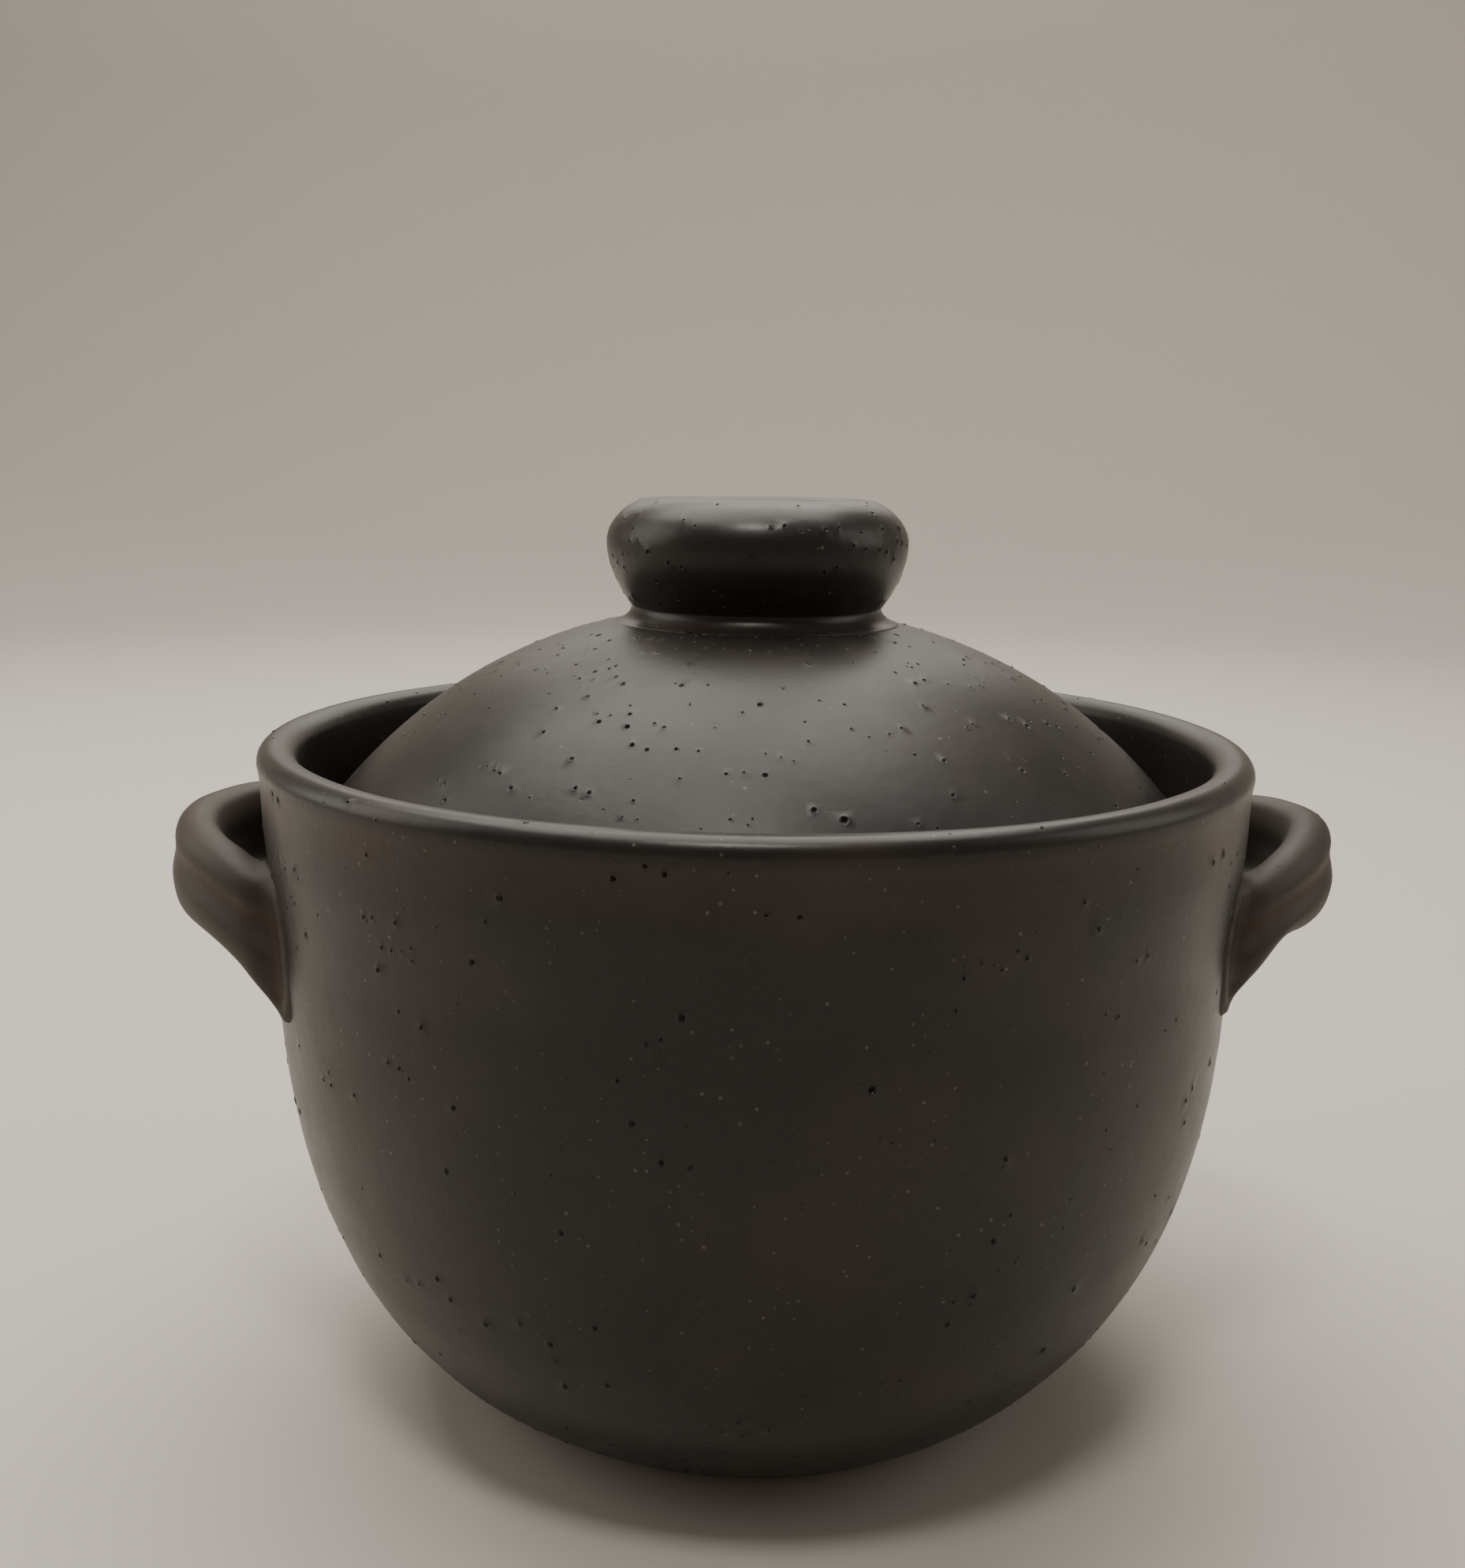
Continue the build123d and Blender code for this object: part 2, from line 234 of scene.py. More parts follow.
class Thrown:
    """A surface thrown on the wheel: an outline turned round the axis, with a hand's unevenness."""

    fine_step = 0.2 * MM
    slow_wave, quick_wave, wobble_wave = 46 * MM, 15 * MM, 60 * MM
    ring_pitch = 1.55 * MM
    radius_match = 0.15 * MM

    def __init__(self, corners, unevenness, seed):
        rows = np.array(rounded(corners))
        steps = np.hypot(*np.diff(rows[:, :2], axis=0).T)
        rows = rows[np.concatenate([[True], steps > 1e-7])]
        run = np.concatenate([[0], np.cumsum(np.hypot(*np.diff(rows[:, :2], axis=0).T))])
        self.length = run[-1]
        self.fine = np.linspace(0, self.length, int(self.length / self.fine_step))
        self.r, self.z, self.bare, self.pits, self.wave, self.brown = (
            np.interp(self.fine, run, rows[:, k]) for k in range(6)
        )
        heading = np.unwrap(np.arctan2(np.gradient(self.z), np.gradient(self.r)))
        blur = np.ones(5) / 5
        self.heading = np.convolve(np.pad(heading, len(blur) // 2, "edge"), blur, "valid")
        self.unevenness = unevenness
        self.seed = Vector((seed, 0.37 * seed, 0.71 * seed))

    def look_up(self, values, s):
        return float(np.interp(s, self.fine, values))

    def girth(self, s):
        return FULL_TURN * max(self.look_up(self.r, s), 1e-6)

    def point(self, s, share):
        """Place, outward normal, and the traits bare and shade brown, the brown tint of painted shade."""
        r, z, heading = (self.look_up(v, s) for v in (self.r, self.z, self.heading))
        turn = FULL_TURN * share
        out = Vector((math.cos(turn), math.sin(turn), 0))
        place = out * r + Vector((0, 0, z))
        normal = out * math.sin(heading) - Vector((0, 0, math.cos(heading)))
        wave = self.look_up(self.wave, s) * self.unevenness
        if wave:
            slow = noise.noise(place / self.slow_wave + self.seed)
            quick = noise.noise(place / self.quick_wave + self.seed)
            wobble = noise.noise(Vector((place.x, place.y, 0)) / self.wobble_wave + self.seed)
            ring = math.sin(z / self.ring_pitch + 2.2 * wobble) * (0.5 + slow)
            place = place + normal * wave * (0.9 * slow + 0.3 * quick + 0.1 * ring)
        return place, normal, self.look_up(self.bare, s), self.look_up(self.brown, s)

    def runs_at(self, radius):
        """The runs over and under the piece at which its outline stands at a radius."""
        near = [s for s in self.fine if abs(self.look_up(self.r, s) - radius) < self.radius_match]
        return max(near), min(near)

    def pit_share(self, s, share):
        return self.look_up(self.pits, s)

    def stations(self, step, turning=math.radians(11)):
        """Runs at which rows of the mesh lie: closer together where the outline bends."""
        stops, last, bent = [0.0], 0.0, 0.0
        for k in range(1, len(self.fine)):
            bent += abs(self.heading[k] - self.heading[k - 1])
            if self.fine[k] - last >= step or bent >= turning:
                stops.append(float(self.fine[k]))
                last, bent = self.fine[k], 0.0
        if self.length - stops[-1] < 0.3 * step:
            stops.pop()
        return stops + [self.length]


def smooth_table(shares, values, x):
    """A value between the entries of a table, on a curve that runs smoothly through them."""
    k = min(max(int(np.searchsorted(shares, x)) - 1, 0), len(shares) - 2)
    slopes = [0.0] * len(shares)
    for i in range(1, len(shares) - 1):
        slopes[i] = (values[i + 1] - values[i - 1]) / (shares[i + 1] - shares[i - 1])
    gap = shares[k + 1] - shares[k]
    a, b, c, d = hermite((x - shares[k]) / gap)
    return values[k] * a + slopes[k] * gap * b + values[k + 1] * c + slopes[k + 1] * gap * d


def closed_curve(points, share):
    """Point at a share of the way round a smooth closed curve through the points."""
    points = [Vector(p) for p in points]
    n = len(points)
    gaps = [(points[(k + 1) % n] - points[k]).length for k in range(n)]
    reach = (share % 1.0) * sum(gaps)
    k = 0
    while reach > gaps[k] and k < n - 1:
        reach -= gaps[k]
        k += 1
    p = [points[(k + i) % n] for i in (-1, 0, 1, 2)]
    t = [-gaps[k - 1], 0.0, gaps[k], gaps[k] + gaps[(k + 1) % n]]

    def blend(a, b, start, end):
        return a + (b - a) * ((reach - start) / (end - start))

    first = [blend(p[i], p[i + 1], t[i], t[i + 1]) for i in range(3)]
    second = [blend(first[i], first[i + 1], t[i], t[i + 2]) for i in range(2)]
    return blend(second[0], second[1], t[1], t[2])


def ease(x):
    x = min(max(x, 0.0), 1.0)
    return x * x * (3 - 2 * x)


EAR_END = math.radians(84)
EAR_ANGLE_SHARES = (0.0, 0.3, 0.52, 0.68, 0.84, 1.0)
EAR_FLARE_SHARES = (0.0, 0.0, 0.05, 0.24, 0.64, 1.0)


class Ear:
    """A pulled strap bent round an arc: a rolled lip, a crease, a skirt, and roots pressed to the wall."""

    crease_drops = (5.2 * MM, 6.4 * MM)
    crease_width = 1.1 * MM
    dents = (0.7 * MM, 1.5 * MM)
    flare = 1.1 * MM
    sink = 2.2 * MM
    lip_drop = 3.4 * MM
    lip_depth = 5 * MM
    groove_depth, groove_place, groove_width = 1.7 * MM, 2.3 * MM, 1.5 * MM
    seam_rise, seam_place, seam_width = 0.3 * MM, 0.1 * MM, 0.9 * MM
    web_rise, web_reach = 0.9 * MM, 2.6 * MM
    wave_size = 9 * MM
    strap_girth = 50 * MM

    def __init__(self, sizes, reach, bearing, lean, dips, drops, wall_radius):
        """The dips of the lip and drops of the lower edge are in mm, one for each angle share."""
        self.sizes, self.reach, self.lean, self.wall_radius = sizes, reach, lean, wall_radius
        self.dips, self.drops = dips, drops
        self.spin = Matrix.Rotation(bearing, 3, "Z")
        self.half = EAR_END * reach
        self.length = 2 * self.half

    def near_root(self, share):
        return ease((share - 0.2) / 0.65)

    def crease_drop(self, share):
        return self.crease_drops[0] + (self.crease_drops[1] - self.crease_drops[0]) * self.near_root(share)

    def section(self, share):
        """The strap's cut at a share of the way from its middle to a root: across and up."""
        sizes, diagonal = self.sizes, math.sqrt(0.5)
        dip, drop = (smooth_table(EAR_ANGLE_SHARES, t, share) for t in (self.dips, self.drops))
        top, base = sizes.top - dip * MM, sizes.top - sizes.height - drop * MM
        lip = top - self.lip_drop
        outer = sizes.outer_half + self.flare * smooth_table(EAR_ANGLE_SHARES, EAR_FLARE_SHARES, share)
        crease = top - self.crease_drop(share)
        dent = self.dents[0] + (self.dents[1] - self.dents[0]) * self.near_root(share)
        skirt = crease + (base - crease) * 0.45
        tuck = sizes.lip_radius / 2
        slant, shoulder = sizes.lip_radius * diagonal, lip + self.lip_drop * diagonal
        return [
            (0, top),
            (slant, shoulder),
            (sizes.lip_radius, lip),
            (outer - dent, crease),
            (outer, skirt),
            (outer - tuck * 0.8, base + tuck * 0.6),
            (0, base),
            (tuck / 2 - sizes.inner_half, base + tuck),
            (-sizes.inner_half, skirt),
            (-sizes.lip_radius, lip),
            (-slant, shoulder),
        ]

    def raw(self, s, share):
        """A place on the bent strap before its roots are worked into the wall."""
        angle = (s - self.half) / self.reach
        across = closed_curve(self.section(min(abs(angle) / EAR_END, 1.0)), share)
        out = Vector((math.cos(angle), math.sin(angle), 0))
        place = Vector((self.sizes.arc_centre, 0, 0)) + out * (self.reach + across.x)
        place.z = across.y - self.lean * math.sin(angle)
        return place

    def girth(self, s):
        return self.strap_girth

    def point(self, s, share):
        """Place, outward normal, and the traits bare and shade brown, the brown tint of painted shade."""
        along_step, round_step = 0.4 * MM, 0.01
        place = self.raw(s, share)
        along = self.raw(s + along_step, share) - self.raw(s - along_step, share)
        across = self.raw(s, share + round_step) - self.raw(s, share - round_step)
        normal = across.cross(along)
        normal = normal.normalized() if normal.length > 1e-12 else Vector((0, 0, 1))
        gap = math.hypot(place.x, place.y) - self.wall_radius(place.z)
        angle = (s - self.half) / self.reach
        outward = max(0.0, normal.dot(Vector((math.cos(angle), math.sin(angle), 0))))
        below_lip = ease((self.sizes.top - self.lip_depth - place.z) / self.lip_depth)
        groove = math.exp(-(((gap - self.groove_place) / self.groove_width) ** 2)) * outward * below_lip
        groove *= ease((normal.z + 0.8) / 0.5)
        seam = max(0.0, 1 - abs(gap - self.seam_place) / self.seam_width)
        wave = noise.noise(place / self.wave_size) * 0.16 * MM
        web = max(0.0, 1 - max(gap, 0.0) / self.web_reach) ** 2 * (1 - 0.8 * groove)
        rise = self.seam_rise * seam + self.web_rise * web - self.groove_depth * groove + wave
        place = place + normal * rise
        radius = math.hypot(place.x, place.y)
        least = self.wall_radius(place.z) - self.sink
        if radius < least:
            place.x, place.y = place.x * least / radius, place.y * least / radius
        arc_share = min(abs(angle) / EAR_END, 1.0)
        crease = self.sizes.top - smooth_table(EAR_ANGLE_SHARES, self.dips, arc_share) * MM
        crease -= self.crease_drop(arc_share) + self.lean * math.sin(angle)
        # Painted shade: a brown tint in the crease under the lip and in the groove beside the roots.
        in_crease = math.exp(-(((place.z - crease) / self.crease_width) ** 2)) * min(1.0, 2 * outward)
        brown = max(0.6 * in_crease, 0.35 * groove)
        return self.spin @ place, self.spin @ normal, 0.0, brown

    def pit_share(self, s, share):
        """Pinholes lie on the outside only, and well away from the roots."""
        return 1.0 if 0.2 < s / self.length < 0.8 and 0.04 < share < 0.45 else 0.0

    def stations(self, step):
        count = int(self.length / step)
        return [self.length * i / count for i in range(count + 1)]


# Skins: meshes over a surface, with pinholes and steam holes let into them

# Traits of each point: bare clay, the brown tint of painted shade, and the painted shade of a pinhole.
TRAITS = ("bare", "brown", "pit_shade")
POLE_SAMPLES = 16

# A pinhole's rings, from the outside in: reach and rise by its radius, and how dark the ring is painted, as
# painted shade in the pit
PIT_RINGS = ((2.0, 0, 0), (1.6, 0.5, 0), (1.28, 1.0, 0), (1.0, 0.3, 0.3), (0.72, -1.5, 0.8), (0.4, -2.8, 1.0))
PIT_SIDES = 12
PIT_BLOCK = 2.05

# A steam hole's rings, from the outside in: how far out and how deep they lie, by its easing
HOLE_RINGS = ((1.6, 0.0), (0.8, 0.1), (0.3, 0.42), (0.0, 1.0))
HOLE_SIDES = 28
HOLE_SEARCH = 16 * MM
HOLE_BLOCK = 1.25


class Skin:
    """Mesh of a surface in rows and columns. A hole or pinhole takes the place of a block of cells."""

    def __init__(self, surface, stations, columns):
        self.surface, self.stations, self.columns = surface, stations, columns
        self.places, self.traits, self.faces = [], [], []
        self.used = set()
        self.last = len(stations) - 1
        self.low = self.add(*self.pole(stations[0]))
        self.high = self.add(*self.pole(stations[-1]))
        self.grid = {}
        for i in range(1, self.last):
            for j in range(columns):
                place, _, bare, brown = surface.point(stations[i], j / columns)
                self.grid[i, j] = self.add(place, (bare, brown, 0.0))

    def add(self, place, traits):
        self.places.append(Vector(place))
        self.traits.append(traits)
        return len(self.places) - 1

    def pole(self, s):
        near = [self.surface.point(s, k / POLE_SAMPLES) for k in range(POLE_SAMPLES)]
        middle = sum((p[0] for p in near), Vector()) / POLE_SAMPLES
        return middle, (near[0][2], near[0][3], 0.0)

    def block(self, s, share, reach):
        """Rows and columns round a spot that leave it the given reach on every side."""
        rows = self.stations
        i0 = max(k for k in range(len(rows)) if rows[k] <= s - reach or k == 0)
        i1 = min(k for k in range(len(rows)) if rows[k] >= s + reach or k == self.last)
        width = reach / self.surface.girth(s)
        j0 = math.floor((share - width) * self.columns)
        j1 = math.ceil((share + width) * self.columns)
        return i0, i1, j0, j1

    def claim(self, block):
        """Takes the cells of a block if they are all free, and gives the loop round it."""
        i0, i1, j0, j1 = block
        if i0 < 1 or i1 > self.last - 1:
            return None
        cells = {(i, j % self.columns) for i in range(i0, i1) for j in range(j0, j1)}
        if cells & self.used:
            return None
        self.used |= cells
        loop = [(i0, j) for j in range(j0, j1)] + [(i, j1) for i in range(i0, i1)]
        loop += [(i1, j) for j in range(j1, j0, -1)] + [(i, j0) for i in range(i1, i0, -1)]
        return [self.grid[i, j % self.columns] for i, j in loop]

    def zip_up(self, outer, inner, axes):
        """Triangles between two loops, taken in order of their angle round the spot."""
        centre, along, up = axes

        def angle(v):
            offset = self.places[v] - centre
            return math.atan2(offset.dot(up), offset.dot(along))

        a, b = sorted(outer, key=angle), sorted(inner, key=angle)
        turn_a, turn_b = [angle(v) for v in a], [angle(v) for v in b]
        i = j = 0
        while i < len(a) or j < len(b):
            next_a = turn_a[i + 1] if i + 1 < len(a) else turn_a[0] + FULL_TURN
            next_b = turn_b[j + 1] if j + 1 < len(b) else turn_b[0] + FULL_TURN
            va, vb = a[i % len(a)], b[j % len(b)]
            if j >= len(b) or (i < len(a) and next_a <= next_b):
                self.faces.append((va, a[(i + 1) % len(a)], vb))
                i += 1
            else:
                self.faces.append((va, b[(j + 1) % len(b)], vb))
                j += 1

    def axes(self, s, share):
        """The spot, and the directions along the turn and along the outline there."""
        centre, normal, _, _ = self.surface.point(s, share)
        ahead = self.surface.point(s + 0.2 * MM, share)[0]
        up = (ahead - centre).normalized()
        return centre, up.cross(normal).normalized(), up

    def pinhole(self, s, share, radius, rng):
        """A burst bubble in the glaze: a pit inside a low raised lip that stands up on one side, its inside
        darkened with painted shade.
        """
        loop = self.claim(self.block(s, share, PIT_BLOCK * radius))
        if loop is None:
            return
        axes = self.axes(s, share)
        lip, lean, depth = rng.uniform(0.05, 0.2), rng.uniform(0, FULL_TURN), rng.uniform(0.6, 1.1)
        squash = rng.uniform(0.75, 1.0)
        girth = self.surface.girth(s)
        for reach, rise, dark in PIT_RINGS:
            ring = []
            for k in range(PIT_SIDES):
                turn = FULL_TURN * k / PIT_SIDES
                ds, dc = reach * radius * math.sin(turn), reach * radius * squash * math.cos(turn)
                place, normal, bare, brown = self.surface.point(s + ds, share + dc / girth)
                side = 1 + 0.8 * math.cos(turn - lean)
                height = rise * lip * radius * side if rise > 0 else rise * 0.25 * depth * radius
                ring.append(self.add(place + normal * height, (bare, brown, dark)))
            self.zip_up(loop, ring, axes)
            loop = ring
        place, normal, bare, brown = self.surface.point(s, share)
        # Painted shade: the pit's floor is painted fully dark.
        tip = self.add(place - normal * 0.9 * depth * radius, (bare, brown, 1.0))
        self.faces += [(v, after, tip) for v, after in zip(loop, loop[1:] + loop[:1])]

    def scatter_pinholes(self, tries, radius, patches, seed):
        """Pinholes in loose patches, as gas leaves the clay in the kiln."""
        rng = random.Random(seed)
        widest = max(self.surface.girth(s) for s in self.stations)
        for _ in range(tries):
            s, share = rng.uniform(self.stations[1], self.stations[-2]), rng.random()
            size = radius * min(max(rng.lognormvariate(0, 0.32), 0.55), 1.3)
            odds = self.surface.pit_share(s, share) * self.surface.girth(s) / widest
            odds *= patches(self.surface.point(s, share)[0])
            if rng.random() >= odds:
                continue
            for _ in range(rng.choice((1, 1, 1, 2, 2, 3, 4))):
                self.pinhole(s, share, size, rng)
                size *= rng.uniform(0.75, 1.15)
                s += rng.uniform(-1.2, 1.2) * MM
                share += rng.choice((-1, 1)) * rng.uniform(1.5, 2.8) * MM / self.surface.girth(s)
                if not self.stations[1] < s < self.stations[-2]:
                    break

    def steam_hole(self, radius_out, share, radius, easing):
        """A round hole straight down through the piece, its edges eased by the glaze."""
        ends = []
        runs = self.surface.runs_at(radius_out)
        spot = self.surface.point(runs[0], share)[0]
        for s in runs:
            loop = self.claim(self.block(s, share, (radius + 2 * easing) * HOLE_BLOCK))
            axes = self.axes(s, share)
            near = np.linspace(s - HOLE_SEARCH, s + HOLE_SEARCH, 400)
            radii = np.array([self.surface.look_up(self.surface.r, x) for x in near])
            order = np.argsort(radii)
            facing = 1 if axes[2].dot(Vector((spot.x, spot.y, 0))) < 0 else -1
            for grow, sink in HOLE_RINGS:
                ring = []
                for k in range(HOLE_SIDES):
                    turn = FULL_TURN * k / HOLE_SIDES
                    x = spot.x + (radius + grow * easing) * math.cos(turn)
                    y = spot.y + (radius + grow * easing) * math.sin(turn)
                    run = float(np.interp(math.hypot(x, y), radii[order], near[order]))
                    place = self.surface.point(run, math.atan2(y, x) / FULL_TURN)[0]
                    place = Vector((x, y, place.z - facing * sink * easing))
                    # Painted shade: the rings that turn down into the hole carry the brown tint of painted
                    # shade.
                    ring.append(self.add(place, (0.0, 0.6 if grow < 1 else 0.0, 0.0)))
                self.zip_up(loop, ring, axes)
                loop = ring
            ends.append(loop)
        top, under = (list(zip(end, end[1:] + end[:1])) for end in ends)
        self.faces += [(a, c, d, b) for (a, b), (c, d) in zip(top, under)]

    def mesh(self, name):
        """The finished mesh, with its traits as attributes."""
        n, last = self.columns, self.last
        faces = list(self.faces)
        for j in range(n):
            after = (j + 1) % n
            faces.append((self.low, self.grid[1, after], self.grid[1, j]))
            faces.append((self.high, self.grid[last - 1, j], self.grid[last - 1, after]))
            for i in range(1, last - 1):
                if (i, j) not in self.used:
                    cell = ((i, j), (i, after), (i + 1, after), (i + 1, j))
                    faces.append(tuple(self.grid[corner] for corner in cell))
        kept = sorted({v for face in faces for v in face})
        number = {v: k for k, v in enumerate(kept)}
        mesh = bpy.data.meshes.new(name)
        mesh.from_pydata([self.places[v] for v in kept], [], [[number[v] for v in f] for f in faces])
        for k, trait in enumerate(TRAITS):
            layer = mesh.attributes.new(trait, "FLOAT", "POINT")
            layer.data.foreach_set("value", [self.traits[v][k] for v in kept])
        work = bmesh.new()
        work.from_mesh(mesh)
        bmesh.ops.recalc_face_normals(work, faces=work.faces)
        if work.calc_volume(signed=True) < 0:
            bmesh.ops.reverse_faces(work, faces=work.faces)
        work.to_mesh(mesh)
        work.free()
        mesh.shade_smooth()
        return mesh


def piece(name, shape, body, slot, material, *nodes):
    """A finished piece from a skin or a mesh: it rides with its body and stands for the solids named."""
    mesh = shape.mesh(name) if isinstance(shape, Skin) else shape
    mesh.materials.clear()
    mesh.materials.append(material)
    made = bpy.data.objects.new(name, mesh)
    bpy.context.scene.collection.objects.link(made)
    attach(made, body)
    if nodes:
        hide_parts(*nodes)


def thrown_skin(corners, unevenness, seed, step, columns):
    """The skin over a thrown surface, with rows a step apart."""
    surface = Thrown(corners, unevenness, seed)
    return Skin(surface, surface.stations(step), columns)


# The bowl

SEAT_GAP = 0.3 * MM
SEAT_EDGE = 1.2 * MM
LID_SEAT_RADIUS = 70.6 * MM
INNER_SEAT_RADIUS = 64.0 * MM
INNER_SEAT_DEPTH = 3.0 * MM
SEAT_ROOT = 0.8 * MM
SEAT_WALL = 2 * MM
FOOT_RECESS = 1.2 * MM
FOOT_BEVEL = 1.2 * MM
FOOT_RING = (35 * MM, 37 * MM)
GLAZE_LINE = 2.4 * MM
PIT_LINE = 6 * MM
# Height over which painted shade tints the neck brown under the rim.
NECK_SHADE = 3 * MM
INSIDE_TOP = 71 * MM
OUTSIDE_ROWS = 40
INSIDE_ROWS = 25


def belly_radius(sizes, height, inset=0.0):
    """Radius of the belly's outer curve at a height, or of the curve inset from it by the wall."""
    power = sizes.belly_power
    fall = sizes.belly_height / (1 - (sizes.foot_radius / sizes.belly_radius) ** power) ** (1 / power)
    drop = max(sizes.belly_height - height, 0.0) / (fall - inset)
    return (sizes.belly_radius - inset) * (1 - min(drop, 1.0) ** power) ** (1 / power)


def bowl_wall_radius(sizes):
    """The bowl's outer radius as a function of height, up to the neck."""
    neck = sizes.rim_height - sizes.neck_drop

    def radius(height):
        if height <= sizes.belly_height:
            return belly_radius(sizes, height)
        rise = ease((height - sizes.belly_height) / (neck - sizes.belly_height))
        return sizes.belly_radius + (sizes.neck_radius - sizes.belly_radius) * rise

    return radius


def bowl_corners(sizes):
    """The bowl's outline: under the foot, up the outside, over the rim and down the inside."""
    radius = bowl_wall_radius(sizes)
    neck = sizes.rim_height - sizes.neck_drop
    bore = sizes.rim_radius - sizes.rim_width
    lid_seat, inner_seat = dome_box[0].z - SEAT_GAP, inner_box[0].z - SEAT_GAP
    corners = [
        Corner(0, FOOT_RECESS, bare=1, wave=0.2),
        Corner(FOOT_RING[0], FOOT_RECESS, 0.8 * MM, bare=1, wave=0),
        Corner(FOOT_RING[1], 0, 0.8 * MM, bare=1, wave=0),
        Corner(sizes.foot_radius - FOOT_BEVEL, 0, 0.7 * MM, bare=1, wave=0),
        Corner(sizes.foot_radius, FOOT_BEVEL, 0.5 * MM, bare=1, wave=0),
    ]
    for i in range(1, OUTSIDE_ROWS + 1):
        height = FOOT_BEVEL + (neck - FOOT_BEVEL) * (i / (OUTSIDE_ROWS + 1)) ** 1.4
        bare = 0 if height > GLAZE_LINE else 1
        pits = 0.0 if height < PIT_LINE else 1.0
        # Painted shade: a brown tint rising into the neck under the rim's overhang.
        brown = 0.3 * ease((height - neck + NECK_SHADE) / NECK_SHADE)
        corners.append(Corner(radius(height), height, bare=bare, pits=pits, wave=1 - bare, brown=brown))
    roll, inner_roll = sizes.rim_roll, sizes.rim_inner_roll
    outer_centre = (sizes.rim_radius - roll, sizes.rim_height - roll)
    inner_centre = (bore + inner_roll, sizes.rim_height - inner_roll)
    bead = arc(outer_centre, roll, -14, 90, 14, pits=0.25, wave=0.4)
    bead_start, bead_heading = (bead[0].r, bead[0].z), (0.242, 0.97)
    # The bend under the rim keeps the brown tint of painted shade.
    under_rim = dict(pits=0.6, wave=0.5, brown=0.3)
    corners += bend((sizes.neck_radius, neck), (0, 1), bead_start, bead_heading, 8, **under_rim)[:-1]
    corners += bead + arc(inner_centre, inner_roll, 90, 180, 12, wave=0.4)
    seats = ((bore, LID_SEAT_RADIUS, lid_seat), (LID_SEAT_RADIUS, INNER_SEAT_RADIUS, inner_seat))
    for wall, edge, seat in seats:
        corners += [
            Corner(wall, seat + SEAT_WALL, wave=0),
            Corner(wall, seat, SEAT_ROOT, bare=1, wave=0),
            Corner(edge, seat, SEAT_EDGE, wave=0),
        ]
    corners += [
        Corner(INNER_SEAT_RADIUS, inner_seat - INNER_SEAT_DEPTH, SEAT_EDGE, wave=0),
        Corner(belly_radius(sizes, INSIDE_TOP, sizes.wall), INSIDE_TOP, 3 * MM, wave=0.3),
    ]
    low = sizes.floor
    for i in range(1, INSIDE_ROWS + 1):
        height = INSIDE_TOP + (low + 6 * MM - INSIDE_TOP) * (i / INSIDE_ROWS) ** 0.8
        corners.append(Corner(belly_radius(sizes, height, sizes.wall), height, wave=0.6))
    corners += [
        Corner(belly_radius(sizes, low + 1.5 * MM, sizes.wall), low, 7 * MM, wave=0.6),
        Corner(0, low, wave=0.4),
    ]
    return corners


# Lids, knob and grip

STEAM_HOLE_RADIUS = 4.0 * MM
STEAM_HOLE_REACH = 50.0 * MM
INNER_HOLE_RADIUS = 4.5 * MM
INNER_HOLE_REACH = 36.0 * MM
KNOB_FOOT_RADIUS = 24.3 * MM
GRIP_FOOT_RADIUS = 11.0 * MM
LID_WALL = 7.4 * MM
LID_RING = 8.2 * MM
LID_RING_RISE = 2.6 * MM
LID_EDGE = 1.2 * MM
LID_EDGE_TOP = 98.0 * MM
INNER_RING = 7.6 * MM
INNER_RISE = 6.0 * MM
INNER_EDGE = 1.6 * MM
INNER_EDGE_HEIGHT = 6.2 * MM
DOME_CURVE = 86.0 * MM


def dome_corners():
    """The outer lid's outline: under the dome, round its edge ring and up over the top."""
    radius, base, seat = dome_box[1].x, dome_box[0].z, dome_box[1].z
    ring, under_top = radius - LID_RING, seat - LID_WALL
    under_start, under_end = (ring, base + LID_RING_RISE), (KNOB_FOOT_RADIUS - LID_WALL / 2, under_top)
    under = bow(under_start, under_end, DOME_CURVE - LID_WALL, 16, wave=0.4)
    over = bow((radius, LID_EDGE_TOP), (KNOB_FOOT_RADIUS, seat), DOME_CURVE, 24, pits=1.0)
    over[0] = Corner(radius, LID_EDGE_TOP, LID_EDGE, pits=0.2)
    return [
        Corner(0, under_top, wave=0.3),
        *reversed(under),
        Corner(ring, base, 0.9 * MM, bare=1, wave=0),
        Corner(radius, base, LID_EDGE, wave=0),
        *over,
        Corner(0, seat, wave=0),
    ]


